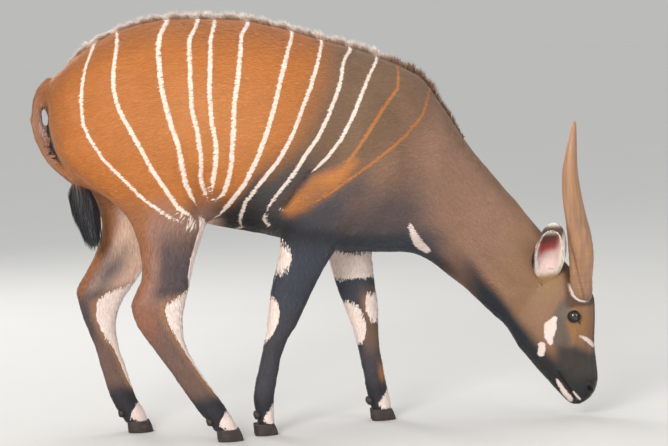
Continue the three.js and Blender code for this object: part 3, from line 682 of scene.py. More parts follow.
# Where a point lies on the legs, from slices of the CAD legs
def leg_table(kind, side):
    corners = []
    for part in ("leg", "shank"):
        mesh = frame["nodes"][f"{kind}_{part}_{side}"].data
        corners.append(positions(mesh)[triangles(mesh)])
    corners = np.vstack(corners)
    start, end = corners.reshape(-1, 3), np.roll(corners, -1, 1).reshape(-1, 3)
    rows = []
    for height in np.linspace(0.04, 0.66 if kind == "hind" else 0.53, 64):
        cut = (start[:, 2] - height) * (end[:, 2] - height) < 0
        f = ((height - start[cut, 2]) / (end[cut, 2] - start[cut, 2]))[:, None]
        points = start[cut] + f * (end[cut] - start[cut])
        low, high = points.min(0), points.max(0)
        rows.append((height, low[0], high[0], (low[1] + high[1]) / 2, (high[1] - low[1]) / 2))
    return np.array(rows)


LEGS = [(kind, side, leg_table(kind, side)) for kind in ("hind", "fore") for side in SIDES]


def on_legs(points):
    """Nearest leg, place from its rear to its front, outwards -1 to 1, and distance from its middle."""
    best = np.full(len(points), FAR)
    along, out, fore = np.zeros(len(points)), np.zeros(len(points)), np.zeros(len(points))
    for kind, side, rows in LEGS:
        rear, front, middle, half = (np.interp(points[:, 2], rows[:, 0], rows[:, k]) for k in (1, 2, 3, 4))
        away = np.hypot(points[:, 0] - (rear + front) / 2, points[:, 1] - middle)
        near = away < best
        best = np.where(near, away, best)
        along = np.where(near, (points[:, 0] - rear) / (front - rear), along)
        out = np.where(near, (points[:, 1] - middle) / half * SIDES[side], out)
        fore = np.where(near, float(kind == "fore"), fore)
    return best, along, out, fore


def stripe_field(s, y, z):
    """Stripe index, gap between stripes and the half width of the nearest one."""
    s = s + 0.016 * np.sin(9 * z + 1) * ramp(y, 0.02, 0.12)
    away = np.stack([side_of(s, z, line) for line in STRIPES], 1)
    count = (away > 0).sum(1)
    row, last = np.arange(len(s)), len(STRIPES)
    behind = np.maximum(away[row, np.clip(count - 1, 0, last - 1)], 0)
    ahead = np.maximum(-away[row, np.clip(count, 0, last - 1)], 0)
    between = np.maximum(behind + ahead, 0.004)
    gap = np.where((count == 0) | (count == last), OPEN_GAP, between)
    index = np.where(count == 0, 1 - ahead / OPEN_GAP, np.where(count == last, last + behind / OPEN_GAP,
                                                                count + behind / between))
    nearest = np.clip(np.round(index).astype(int), 1, last) - 1
    over = dot(np.stack([s, z], 1) - STRIPE_END[nearest], STRIPE_AIM[nearest])
    below_top = np.interp(s, *BACK.T) - z
    thick = 0.72 + 0.28 * ramp(below_top, 0.02, 0.14)
    half = STRIPE_HALF[nearest] * thick * np.clip((0.010 - over) / 0.05, -1, 1)
    # There is no stripe where the lines are only drawn out
    drawn = np.min([chain(s, z, [line[0] * 2 - line[1], *line]) for line in STRIPES], 0)
    half = np.where(below_top > 0.06, np.minimum(half, 1.2 * (0.018 - drawn)), half)
    half = np.where((index > last + 0.5) | (index < 0.5), -0.02, half)
    return index, gap, half


def paint(points, normals, labels):
    """Tint, stripe, marks and leg share at points of the skin. Labels: 1 tail, 2 ears, else 0."""
    place_ = straight(points)
    s, y, z = place_.T
    top, low = np.interp(s, *BACK.T), np.interp(s, *UNDER.T)
    rise = (z - low) / (top - low)
    index, gap, half = stripe_field(s, y, z)
    tint = np.tile(colour("chestnut"), (len(s), 1))
    loose = wave(points, 3, 0.12) * 0.5

    def lay(name, share):
        nonlocal tint
        share = np.clip(share, 0, 1)[:, None]
        tint = tint * (1 - share) + colour(name) * share

    trunk = ramp(s, 0.46, 0.36)
    # Painted highlight: the middle of the barrel is lightened where light falls on its round side
    lay("barrel_highlight", 0.6 * bell(s, -0.30, 0.26) * bell(z, 0.98, 0.16))
    # Painted shade: the top of the trunk is darkened where less light falls on it
    lay("back_coat_and_shade", 0.75 * ramp(rise, 0.80, 0.99) * trunk)
    lay("back_coat_and_shade", 0.45 * ramp(s, -0.70, -0.80))
    lay("umber", ramp(index, 7.5, 9.1) * trunk)
    lay("flank", ramp(index, 6.8, 7.7) * ramp(index, 9.9, 8.6) * ramp(z + 0.02 * loose, 0.92, 0.76))
    lay("mauve", ramp(index + 0.3 * loose, 11.2, 13.0))
    lay("umber", 0.55 * ramp(rise, 0.84, 0.98) * ramp(s, 0.15, 0.30))
    elbow = chain(s, z, ELBOW)
    lay("belly", 0.9 * ramp(rise, 0.24, 0.06) * ramp(s, 0.10, 0.0) * ramp(s, -0.40, -0.30))
    lay("slate_fore", 0.62 * ramp(elbow, 0.090, 0.040) * ramp(z + 0.45 * (s - 0.05), 0.90, 0.74) * ramp(s, 0.30, 0.14))
    # The patch behind the elbow is a real marking, its colour lifted half way to the highlight on it: partly painted
    # highlight
    lay("elbow", 0.95 * ramp(elbow, 0.022, -0.018))
    # Painted shade: the armpit's fold is darkened with the belly colour where shade falls in the crease
    lay("belly", 0.7 * bell(chain(s, z, ARMPIT), 0, 0.008))
    lay("slate_fore", 0.72 * ramp(z + 0.03 * loose, 0.84, 0.66) * ramp(s, -0.12, 0.02) * ramp(s, 0.40, 0.25))
    lay("belly", ramp(rise, 0.13, 0.03) * ramp(s, -0.45, -0.33) * ramp(s, 0.50, 0.36))

    # Thighs and hind legs
    away, along, out, fore = on_legs(points)
    hind = 1 - fore
    outer, inner = ramp(out, -0.15, 0.25), ramp(out, 0.05, -0.30)
    leg = ramp(z, 0.76, 0.58) * ramp(away, 0.17, 0.10) * ramp(s, 0.45, 0.30)
    low_leg = ramp(z, 0.66, 0.56) * ramp(s, 0.45, 0.30)
    rear = ramp(s, -0.28, -0.34) * hind
    lay("thigh", rear * ramp(z + 0.03 * loose, 0.79, 0.68) * ramp(along, 0.04, 0.24) * ramp(away, 0.26, 0.18))
    lay("slate", 0.9 * hind * ramp(z + 0.02 * loose, 0.70, 0.50) * ramp(along, 0.14, 0.40) * ramp(away, 0.22, 0.12))
    lay("thigh", rear * outer * ramp(z + 0.02 * loose, 0.66, 0.56))
    lay("slate", 0.85 * rear * outer * ramp(z, 0.69, 0.56) * ramp(z, 0.43, 0.47) * ramp(along, 0.20, 0.46))
    lay("inner_thigh", rear * inner * ramp(z, 0.44, 0.48) * ramp(z, 0.90, 0.80) * ramp(along, 0.12, 0.32)
        * ramp(away, 0.22, 0.15))
    lay("slate", 0.9 * rear * inner * np.exp(-(((along - 0.40) / 0.28) ** 2) - ((z - 0.515) / 0.085) ** 2))
    lay("rear_edge", 0.8 * rear * ramp(along, 0.24, 0.06) * ramp(z, 0.36, 0.42) * ramp(z, 0.80, 0.70))
    lay("cannon", hind * ramp(z, 0.45, 0.39) * low_leg)
    lay("hock", 0.9 * hind * outer * bell(z, 0.385, 0.060) * ramp(along, 0.62, 0.30))
    lay("slate", 0.8 * hind * inner * ramp(z, 0.48, 0.41) * ramp(z, 0.26, 0.33) * ramp(along, 0.34, 0.12))
    lay("fetlock", hind * ramp(z + 0.02 * loose, 0.175, 0.115))
    # Fore legs: the left one is set lower by its bent knee
    knee = z + 0.045 * (y > 0)
    lay("slate_fore", fore * low_leg * ramp(z, 0.70, 0.58))
    lay("slate", fore * low_leg * ramp(z, 0.44, 0.34))
    lay("tan", 0.45 * fore * low_leg * inner * bell(knee, 0.315, 0.050) * ramp(along, 0.15, 0.40))
    lay("elbow", 0.85 * fore * low_leg * inner * ramp(along, 0.62, 0.85) * bell(knee, 0.190, 0.034))
    lay("fetlock", fore * ramp(z, 0.15, 0.10) * low_leg)

    # White patches: a share becomes a distance that the shader cuts crisply
    share = np.zeros(len(s))

    def add(extra):
        nonlocal share
        share = np.maximum(share, extra)

    edge = along - 0.02 * out + 0.02 * loose
    add(rear * ramp(edge, 0.85, 0.91) * ramp(along, 1.18, 1.06) * ramp(z, 0.46, 0.49)
        * ramp(z + 0.30 * (along - 0.88), 0.722, 0.690) * (1 - 0.6 * ramp(z, 0.54, 0.49) * ramp(edge, 0.97, 0.92)))
    heights = (0.12, 0.14, 0.20, 0.27, 0.32, 0.373, 0.424, 0.455, 0.475)
    seen_out = np.interp(z, heights, (1.02, 0.97, 0.91, 0.88, 0.81, 0.66, 0.60, 0.84, 1.1))
    seen_in = np.interp(z, heights, (1.02, 0.95, 0.86, 0.78, 0.54, 0.40, 0.42, 0.72, 1.1))
    bound = seen_out * (1 - inner) + seen_in * inner
    lay("tan", 0.7 * hind * ramp(edge - bound, -0.22, -0.04) * ramp(z, 0.11, 0.17) * ramp(z, 0.47, 0.45))
    add(hind * ramp(edge - bound, -0.03, 0.03) * (z > 0.12) * (z < 0.475))
    add(ramp(along - 0.30 - np.abs(z - 0.052) / 0.034 * 0.50, -0.05, 0.05) * ramp(z, 0.10, 0.09))
    between_legs = ramp(along, -0.14, -0.06) * ramp(along, 1.10, 1.02) * ramp(away, 0.13, 0.11)
    add(fore * inner * between_legs * ramp(knee, 0.492, 0.508) * ramp(knee, 0.590, 0.578))
    upper = np.where(y > 0, 0.3, 0.27 * np.sqrt(np.maximum(0, 1 - ((knee - 0.548) / 0.052) ** 2)))
    add(fore * ramp(along - upper, 0.03, -0.03) * between_legs * (np.abs(knee - 0.548) < 0.048))
    bulge = np.where(y > 0, 0.44, 0.38) * np.sqrt(np.maximum(0, 1 - ((knee - 0.358) / 0.070) ** 2))
    add(fore * ramp(along - bulge + 0.06 * out, 0.03, -0.03) * (np.abs(knee - 0.358) < 0.068) * (along > -0.2))
    below_knee = np.abs(knee - 0.405)
    front_patch = inner * ramp(along - 0.58 - 2.2 * below_knee, -0.04, 0.04) * (below_knee < 0.045)
    lay("tan", 0.8 * fore * inner * ramp(along, 0.40, 0.62) * bell(knee, 0.410, 0.045))
    add(fore * front_patch)
    share = share * ramp(s, 0.30, 0.22) * (z < 0.80)
    white = (0.5 - share) * 0.05

    # Head
    head = ramp(s + 0.25 * (0.40 - z), 0.60, 0.70)
    lay("face", ramp(s + 0.25 * (0.40 - z), 0.50, 0.62))
    lay("cheek", head * bell(s, 0.70, 0.07) * bell(z, 0.30, 0.10))
    lay("ear_base", 0.85 * head * np.exp(-(((s - 0.715) / 0.040) ** 2) - ((z - 0.43) / 0.048) ** 2))
    lay("eye_round", 0.85 * head * ramp(np.hypot(s - 0.799, (z - 0.300) * 0.8), 0.062, 0.032))
    lay("face_band", 0.9 * ramp(chain(s, z, FACE_BAND), 0.018, -0.004))
    lay("forehead", head * ramp(z + 0.006 * loose, 0.346, 0.360) * ramp(s, 0.762, 0.784))
    lay("forehead", 0.8 * head * ramp(np.abs(y), 0.034, 0.020) * ramp(z, 0.21, 0.25) * ramp(s, 0.75, 0.78))
    lay("forehead", head * ramp(z, 0.42, 0.47) * ramp(np.abs(y), 0.06, 0.03))
    foot = [np.interp(z, HORN_LINE[:, 0], HORN_LINE[:, k]) for k in range(1, 5)]
    ring = np.hypot((s - foot[0]) / foot[2], (np.abs(y) - foot[1]) / foot[3])
    lay("patch", 0.75 * head * ramp(ring, 1.22, 1.10) * ramp(z, 0.335, 0.35) * ramp(z, 0.43, 0.41))
    eye_gap = np.hypot(s - EYE_PLACE[0], z - EYE_PLACE[2])
    below = ramp(z + 0.012 * loose - np.interp(s, [0.74, 0.798, 0.843], [0.225, 0.235, 0.212]), 0.018, -0.018)
    lay("muzzle", head * below * ramp(s, 0.715, 0.76))
    lay("throat", ramp(rise + 0.03 * loose, 0.30, 0.13) * ramp(s, 0.38, 0.52) * ramp(s, 0.775, 0.745))
    lay("jaw", head * ramp(rise, 0.26, 0.10) * ramp(z, 0.26, 0.18))
    pad = chain(s, z, [(0.846, 0.100, 0.017), (0.842, 0.078, 0.015)])
    lay("nose", ramp(pad, 0.008, -0.002))
    mouth = chain(s, z, MOUTH)
    lay("nose", head * bell(mouth, 0, 0.006) * (s > 0.7))
    for mark in CHEEK_MARKS:
        white = np.minimum(white, np.where(s > 0.6, chain(s, z, mark), FAR) + 0.0012)
    white = np.minimum(white, np.where(s < 0.5, chain(s, z, CHEST_MARK), FAR))
    white = np.minimum(white, chain(s, z, TICK))
    nostril = np.hypot((s - NOSTRIL[0]) / 0.007, (z - NOSTRIL[1]) / 0.011)
    lay("nose", head * ramp(nostril, 1.7, 1.1))
    wet = np.maximum(ramp(pad, 0.003, -0.003), bell(mouth, 0, 0.004) * (s > 0.7))
    wet = np.maximum(wet, ramp(nostril, 1.6, 1.0) * head)
    wet = np.maximum(wet, ramp(chain(s, z, [(0.812, 0.307, 0.002), (0.817, 0.299, 0.001)]), 0.002, 0))
    lay("lid", np.where(np.abs(y) > 0.02, ramp(eye_gap, 0.0225, 0.0175), 0))
    lay("nose", wet)

    # Tail and ears
    tail = labels == 1
    lay("tail", tail * 0.95)
    lay("back_coat_and_shade", tail * 0.6 * ramp(z, 1.02, 1.10))
    lay("ear_inner", tail * 0.55 * ramp(normals[:, 0], 0.1, 0.7) * ramp(z, 1.04, 0.98))
    # Painted shade: the rump beside the slit under the tail is darkened with the belly colour
    lay("belly", (labels == 0) * ramp(s, -0.752, -0.772) * ramp(np.abs(y), 0.055, 0.035)
        * ramp(z, 0.84, 0.88) * ramp(z, 1.06, 1.02))
    ears = (labels == 2) * 1.0
    sides = zip(ear_axes(SIDES["right"]), ear_axes(SIDES["left"]))
    root, aim, opened, level = (np.where((y > 0)[:, None], left, right) for right, left in sides)
    up_ear = dot(place_ - root, aim) / EAR["length"]
    inside = ramp(dot(bend_direction(opened, s), normals), -0.05, 0.2)
    signed = dot(place_ - root, level) / EAR["half"] * np.where(y > 0, -1, 1)
    across = np.abs(signed)
    lay("ear_base", ears * ramp(up_ear, 0.25, 0.05))
    lay("ear_back", ears * ramp(up_ear, 0.10, 0.40))
    # Painted shade: the rear margin of each ear, which lies in shadow, is darkened with the lid colour
    lay("lid", 0.9 * ears * ramp(signed, -0.70, -0.90) * ramp(up_ear, 0.90, 0.75) * ramp(up_ear, 0.06, 0.16))
    lay("ear_inner", ears * inside * ramp(across, 0.96, 0.80) * ramp(up_ear, 0.06, 0.16))
    lay("ear_top", ears * inside * ramp(up_ear + 0.12 * loose - 0.12 * signed, 0.38, 0.60) * ramp(across, 0.85, 0.40))
    # Painted shade: the top of each ear's hollow is darkened with the muzzle colour
    lay("muzzle", 0.7 * ears * inside * ramp(up_ear + 0.06 * loose, 0.56, 0.74) * ramp(across, 0.80, 0.30))
    lay("rim_hair", ears * ramp(signed, 0.66, 0.86) * ramp(up_ear, 0.10, 0.25))
    lay("rim_hair", ears * ramp(up_ear, 0.80, 0.90) * ramp(signed, -0.9, -0.5))
    half = np.where((s > 0.5) | tail | (leg > 0.95), -0.02, half)
    white = np.where(tail | (ears > 0), 0.05, white)
    marks = np.stack([white, wet, leg], 1)
    return tint, np.stack([index, gap, half], 1), marks


def lie_of(points, normals, labels):
    """The way the hair lies, along the skin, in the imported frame."""
    s, y, z = straight(points).T
    best, tangent = np.full(len(s), FAR), np.zeros((len(s), 2))
    for a, b in zip(AXIS, AXIS[1:]):
        away = segment(s, z, a, b)[1]
        tangent = np.where((away < best)[:, None], unit(b - a), tangent)
        best = np.minimum(best, away)
    slant = 0.45 * ramp(s, 0.55, 0.30)
    lie = np.stack([-tangent[:, 0], 0.02 * np.sign(y), -tangent[:, 1] - slant], 1)
    away = on_legs(points)[0]
    leg = (ramp(z, 0.80, 0.60) * ramp(away, 0.19, 0.10) * ramp(s, 0.45, 0.30))[:, None]
    lie = lie * (1 - leg) + np.array([-0.12, 0, -1.0]) * leg
    tail_way = unit(np.gradient(TAIL, axis=0))
    order = np.argmin(np.hypot(s[:, None] - TAIL[:, 0], z[:, None] - TAIL[:, 1]), 1)
    along_tail = np.stack([tail_way[order, 0], 0 * s, tail_way[order, 1]], 1)
    lie = np.where((labels == 1)[:, None], along_tail, lie)
    ear_way = EAR_AIM * np.stack([0 * y + 1, np.sign(y), 0 * y + 1], 1)
    lie = np.where((labels == 2)[:, None], ear_way, lie)
    lie = bend_direction(unit(lie), s)
    sway = 0.22 * wave(points, 11, 0.16)
    lie = lie + np.cross(normals, lie) * sway[:, None]
    return square_to(lie, normals)


def lock_mesh(name, path, across, outward, half, flat, patch, fields, normals=None):
    """Many tapering three-sided locks in one mesh: path is (n, k, 3), its last point the tip.

    The directions across and outward are (n, 1, 3), or (n, k - 1, 3) where they turn along the lock.
    """
    count, steps = path.shape[:2]
    rings = steps - 1
    ring = np.stack([
        path[:, :rings] + across * half[:, :rings, None],
        path[:, :rings] + outward * (half[:, :rings, None] * flat),
        path[:, :rings] - across * half[:, :rings, None],
    ], 2)
    per = rings * 3 + 1
    points = np.concatenate([ring.reshape(count, rings * 3, 3), path[:, -1:]], 1)
    faces = []
    for r in range(rings - 1):
        for c in range(3):
            a, b = r * 3 + c, r * 3 + (c + 1) % 3
            faces += [(a, b, b + 3), (a, b + 3, a + 3)]
    faces += [((rings - 1) * 3 + c, (rings - 1) * 3 + (c + 1) % 3, rings * 3) for c in range(3)]
    template = np.array(faces)
    all_faces = (template[None] + np.arange(count)[:, None, None] * per).reshape(-1, 3)
    obj = new_mesh(name, points.reshape(-1, 3), all_faces)
    mesh = obj.data
    for key, values in fields.items():
        spread = np.concatenate([np.repeat(values[:, :rings], 3, 1), values[:, -1:]], 1)
        write_attribute(mesh, key, spread.reshape(-1, 3))
    # The bake's map: each lock is one small patch at its root's place
    turn = np.radians([90, 210, 330])
    corner = np.stack([np.cos(turn), np.sin(turn)], 1) * PATCH_RADIUS
    shrink = 1 - np.arange(rings) / rings
    local = np.concatenate([(corner[None] * shrink[:, None, None]).reshape(-1, 2), np.zeros((1, 2))])
    uv = (patch[:, None] + local[None])[np.arange(count)[:, None, None], template[None]]
    layer = mesh.uv_layers.new(name="OFBake")
    layer.data.foreach_set("uv", uv.astype(np.float32).ravel())
    if normals is not None:
        ringed = normals[:, :rings]
        tilt = np.stack([ringed + 0.42 * across, ringed, ringed - 0.42 * across], 2)
        tilt = np.concatenate([tilt.reshape(count, rings * 3, 3), normals[:, -1:]], 1)
        mesh.normals_split_custom_set_from_vertices(unit(tilt).reshape(-1, 3).astype(np.float32))
    return obj


def skin_roots(obj, wanted, count, rng):
    """Evenly spread places on the chosen faces of a mesh."""
    tri = triangles(obj.data)
    points, normals = positions(obj.data), vertex_normals(obj.data)
    labels = BUILT["labels"]
    tri = tri[wanted[tri].sum(1) >= 2]
    corner = points[tri]
    area = np.linalg.norm(np.cross(corner[:, 1] - corner[:, 0], corner[:, 2] - corner[:, 0]), axis=1) / 2
    edge = np.cumsum(area)
    pick = np.searchsorted(edge, (np.arange(count) + rng.random(count)) / count * edge[-1] * 0.99999)
    a, b = rng.random(count), rng.random(count)
    flip = a + b > 1
    a, b = np.where(flip, 1 - a, a), np.where(flip, 1 - b, b)
    share = np.stack([1 - a - b, a, b], 1)[..., None]
    chosen = tri[pick]
    return (points[chosen] * share).sum(1), unit((normals[chosen] * share).sum(1)), labels[chosen[:, 0]]


def unwrap_place(points):
    """Places on an unwrap of the skin's own shape: along the body or leg, and round it, from 0.01 to 0.99."""
    s, y, z = straight(points).T
    best, along, height = np.full(len(s), FAR), np.zeros(len(s)), np.zeros(len(s))
    start = 0.0
    for a, b in zip(AXIS, AXIS[1:]):
        d = b - a
        size = np.linalg.norm(d)
        f, away = segment(s, z, a, b)
        near = away < best
        along = np.where(near, start + f * size, along)
        height = np.where(near, (-(s - a[0]) * d[1] + (z - a[1]) * d[0]) / size, height)
        best = np.minimum(best, away)
        start += size
    around = np.arctan2(y, height)
    away, _, _, fore = on_legs(points)
    leg = (z < 0.62) & (away < 0.14) & (s < 0.35)
    along = np.where(leg, 3.0 + fore * 0.8 + (0.62 - z), along)
    around = np.where(leg, y * 8, around)
    out = np.stack([along, around], 1)
    low, high = out.min(0), out.max(0)
    return 0.01 + 0.98 * (out - low) / np.maximum(high - low, 1e-6)


BUILT = {}


def eye_frame(side):
    """Centre, outward axis and the two axes of the opening of an eye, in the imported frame."""
    low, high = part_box("eye_right" if side < 0 else "eye_left")
    centre = np.array((low + high) / 2)
    n = unit(np.array([0.25, side * 0.96, 0.08]))
    a = square_to(np.array([0.50, 0, -0.87]), n)
    b = unit(np.cross(n, a))
    if b[0] < 0:
        b = -b
    s = np.array(EYE_PLACE[0])
    return centre, *(bend_direction(v, s) for v in (n, a, b))


# Half length and half width of the opening between the lids
OPENING = (0.0168, 0.0128)


def ear_axes(side):
    """Root of an ear in the straight body, and its axes: up it, out of its opening and across it."""
    mirror = np.array([1, side, 1])
    aim = unit(EAR_AIM * mirror)
    opened = square_to(EAR_OPEN * mirror, aim)
    return EAR["root"] * mirror, aim, opened, unit(np.cross(aim, opened))


def ear_slice(t, root, aim, opened):
    """Half width, depth and middle of the ear's cup at the share t of its length."""
    swell = 0.38 + 0.62 * np.sin(np.minimum(1, t / 0.5) * math.pi / 2)
    half = EAR["half"] * swell * np.sqrt(np.maximum(0.004, 1 - np.maximum(0, (t - 0.35) / 0.66) ** 2.4))
    deep = EAR["depth"] * (0.9 - 0.62 * t) * np.minimum(1, half / EAR["half"] + 0.2)
    bow = EAR["bow"] * np.sin(t * math.pi)
    return half, deep, root + aim * (t * EAR["length"] - EAR["sink"])[:, None] - opened * bow[:, None]


def ear_shell(side):
    """A cup-shaped ear rooted behind the horn."""
    root, aim, opened, across = ear_axes(side)

    def place_points(turn, t):
        half, deep, middle = ear_slice(t, root, aim, opened)
        hollow = ramp(t, 0.14, 0.42)
        outer = turn <= math.pi
        angle = np.where(outer, turn - math.pi / 2, 1.5 * math.pi - turn)
        wall = EAR["wall"] * (0.55 + 0.45 * np.cos(angle)) * (1 - 0.45 * t)
        curl = 0.004 * ramp(np.abs(angle), 1.0, 1.5) * hollow
        sideways = np.sin(angle) * half
        back = np.cos(angle) * deep
        inner_back = (back - wall) * hollow + (-0.002 - 0.003 * np.cos(angle)) * (1 - hollow)
        inner_side = sideways * (1 - 0.6 * wall / half)
        aside = np.where(outer, sideways, inner_side)
        depth = np.where(outer, -back, -inner_back) + curl
        # A soft fold runs up the inside of the cup
        fold = np.where(outer, 0, 0.003 * bell(angle, 0.45, 0.25) + 0.002 * bell(angle, -0.5, 0.2)) * hollow * (1 - t)
        points = middle + across * aside[:, None] + opened * (depth + fold)[:, None]
        return bend(points)

    return shaped_grid(f"ear_{side}", place_points, 56, 44)


def refine(obj, keep, smooth):
    """Cuts the faces in four where keep(centres) holds."""
    mesh = obj.data
    chosen = keep(read(mesh.polygons, "center"))
    choose(obj)
    mesh.polygons.foreach_set("select", chosen)
    mesh.vertices.foreach_set("select", np.zeros(len(mesh.vertices), bool))
    mesh.edges.foreach_set("select", np.zeros(len(mesh.edges), bool))
    bpy.ops.object.mode_set(mode="EDIT")
    bpy.ops.mesh.select_mode(type="FACE")
    bpy.ops.object.mode_set(mode="OBJECT")
    mesh.polygons.foreach_set("select", chosen)
    bpy.ops.object.mode_set(mode="EDIT")
    bpy.ops.mesh.subdivide(number_cuts=1, smoothness=0)
    bpy.ops.mesh.vertices_smooth(factor=0.5, repeat=smooth)
    bpy.ops.object.mode_set(mode="OBJECT")


def smooth_where(obj, chosen, repeat):
    mesh = obj.data
    choose(obj)
    bpy.ops.object.mode_set(mode="EDIT")
    bpy.ops.mesh.select_mode(type="VERT")
    bpy.ops.mesh.select_all(action="DESELECT")
    bpy.ops.object.mode_set(mode="OBJECT")
    mesh.vertices.foreach_set("select", chosen)
    bpy.ops.object.mode_set(mode="EDIT")
    bpy.ops.mesh.vertices_smooth(factor=0.5, repeat=repeat)
    bpy.ops.object.mode_set(mode="OBJECT")


FLESH = ["torso", "neck", "head", "tail"] + [
    f"{kind}_{part}_{side}" for kind in ("hind", "fore") for part in ("leg", "shank") for side in SIDES
]


class BONGO_OT_skin(bpy.types.Operator):
    """Joins the flesh nodes into one skin with muscles, folds, eyelids, lips and nostrils"""

    bl_idname = "bongo.skin"
    bl_label = "Skin"

    def execute(self, context):
        copies = [copy_node(name) for name in FLESH + ["eye_right", "eye_left"]]
        for obj in copies:
            points, normals = positions(obj.data), vertex_normals(obj.data)
            if obj.name.startswith(("torso", "neck")):
                # The ridge is held down to the back's line, under the crest
                s, y, z = straight(points).T
                line = np.interp(s, *BACK.T) - 0.002 - y ** 2 / 0.4
                held = (np.abs(y) < 0.03) & (z > line)
                points[held, 2] = line[held]
                normals[held] = 0
            place(obj.data, points + normals * 0.0008)
        choose(*copies)
        bpy.ops.object.join()
        skin = copies[0]
        skin.name = skin.data.name = "coat_skin"
        skin.data.remesh_voxel_size = sizes().skin_voxel
        skin.data.use_remesh_preserve_volume = True
        bpy.ops.object.voxel_remesh()
        with editing(skin):
            bpy.ops.mesh.vertices_smooth(factor=0.5, repeat=7)
        s, _, z = straight(positions(skin.data)).T
        body = (s < 0.62) & (z > 0.66) | (s > 0.30) & (s < 0.62)
        body &= ~((s < -0.74) & (z < 1.0))
        smooth_where(skin, body, 45)
        # The lower ends go down into the hooves
        points, normals = positions(skin.data), vertex_normals(skin.data)
        s = straight(points)[:, 0]
        neck = ramp(s, 0.25, 0.40) * ramp(s, 0.66, 0.60)
        points += normals * (-0.0012 + 0.0032 * neck)[:, None]
        low = points[:, 2] < 0.06
        points[low, 2] -= (0.06 - points[low, 2]) * 0.32
        place(skin.data, points)
        for side in SIDES.values():
            ear = ear_shell(side)
            apply_modifier(skin, "BOOLEAN", object=ear, operation="UNION", solver="EXACT")
            bpy.data.objects.remove(ear)
        spot = straight(positions(skin.data))
        for side in SIDES.values():
            smooth_where(skin, np.linalg.norm(spot - ear_axes(side)[0], axis=1) < 0.036, 4)
        refine(skin, lambda c: (straight(c)[:, 0] > 0.61) & (c[:, 2] < 0.50), 2)

        def fine(c):
            near = [np.linalg.norm(c - eye_frame(side)[0], axis=1) < 0.052 for side in SIDES.values()]
            return near[0] | near[1] | ((straight(c)[:, 0] > 0.735) & (c[:, 2] < 0.135))

        refine(skin, fine, 1)
        self.sculpt(skin)
        self.eyelids(skin)
        # Which CAD node each vertex belongs to
        points = positions(skin.data)
        owner, corners, faces = [], [], []
        for name in FLESH + ["ear_right", "ear_left"]:
            mesh = frame["nodes"][name].data
            tri = triangles(mesh)
            faces.append(tri + sum(len(c) for c in corners))
            corners.append(positions(mesh))
            owner += [1 if name == "tail" else 2 if name.startswith("ear") else 0] * len(tri)
        tree = BVHTree.FromPolygons(np.vstack(corners).tolist(), np.vstack(faces).tolist())
        owner = np.array(owner)
        labels = np.zeros(len(points), int)
        s, _, z = straight(points).T
        maybe = ((s < -0.68) & (z > 0.7)) | ((s > 0.62) & (z > 0.40))
        for k in np.nonzero(maybe)[0]:
            labels[k] = owner[tree.find_nearest(points[k])[2]]
        BUILT["skin"], BUILT["labels"] = skin, labels
        BUILT["tree"] = BVHTree.FromPolygons(points.tolist(), triangles(skin.data).tolist())
        tint, stripe, marks = paint(points, vertex_normals(skin.data), labels)
        for name, values in (("tint", tint), ("stripe", stripe), ("marks", marks),
                             ("fur", np.full_like(points, 0.5))):
            write_attribute(skin.data, name, values)
        shade_smooth(skin)
        finish_piece(skin, coat_finish("coat_skin", True), "coat_body", *FLESH, "ear_right", "ear_left")
        return {"FINISHED"}

    def sculpt(self, skin):
        points, normals = positions(skin.data), vertex_normals(skin.data)
        s, y, z = straight(points).T
        lateral = ramp(np.abs(bend_direction(normals, s)[:, 1]), 0.10, 0.5)
        push = np.zeros(len(s))
        for line, width, height in FORMS:
            near = chain(s, z, line)
            push += height * np.exp(-((np.maximum(near, 0) / width) ** 2)) * lateral
        # Mouth line, lips, nostrils and the tendons of the legs
        mouth = np.where(s > 0.70, chain(s, z, MOUTH), FAR)
        push += lateral * (-0.0042 * bell(mouth, 0, 0.0026) + 0.0016 * bell(mouth, 0.0075, 0.004))
        ahead, above = s - NOSTRIL[0], z - NOSTRIL[1]
        nostril = np.hypot((ahead * 0.94 + above * 0.34) / 0.0062, (above * 0.94 - ahead * 0.34) / 0.0105)
        nostril = np.where(s > 0.80, nostril, FAR)
        push += lateral * (0.0024 * bell(nostril, 1.45, 0.3))
        _, along, out, _ = on_legs(points)
        tendon = (z < 0.34) & (z > 0.12) & (s < 0.35)
        push += np.where(tendon, -0.0022 * bell(along, 0.30, 0.10) * ramp(np.abs(out), 0.4, 0.8), 0)
        push += 0.0007 * wave(points, 5, 0.05) * (s < 0.60)
        points = points + normals * push[:, None]
        points[:, 1] -= np.where(nostril < 1.15, 0.011 * (1 - ramp(nostril, 0.35, 1.1)), 0) * np.sign(y)
        place(skin.data, points)

    def eyelids(self, skin):
        """Drapes the skin round each eyeball and opens it."""
        points = positions(skin.data)
        ball = sizes().eye_radius
        for side in SIDES.values():
            centre, n, a, b = eye_frame(side)
            rel = points - centre
            xn, xa, xb = rel @ n, rel @ a, rel @ b
            close = (np.linalg.norm(rel, axis=1) < 0.05) & (xn > -0.012)
            r = np.hypot(xa / OPENING[0], xb / OPENING[1])
            over = np.sqrt(np.maximum((ball + 0.0032) ** 2 - xa ** 2 - xb ** 2, 0))
            drape = np.maximum(xn, over)
            upper = ramp(xb / OPENING[1], -0.2, 0.6)
            drape = drape - 0.0024 * bell(r, 1.62, 0.16) * upper - 0.0012 * bell(r, 1.55, 0.15) * (1 - upper)
            drape = drape + 0.0012 * bell(r, 1.25, 0.16)
            new_n = np.where(r < 1, -0.002, drape)
            edge = (r > 0.86) & (r < 1.14)
            scale = np.where(edge, 1 / np.maximum(r, 1e-6), 1)
            xa2, xb2 = xa * scale, xb * scale
            rim = np.sqrt(np.maximum((ball + 0.0016) ** 2 - xa2 ** 2 - xb2 ** 2, 0))
            new_n = np.where(edge, rim, new_n)
            moved = centre + xa2[:, None] * a + xb2[:, None] * b + new_n[:, None] * n
            points = np.where(close[:, None], moved, points)
        place(skin.data, points)


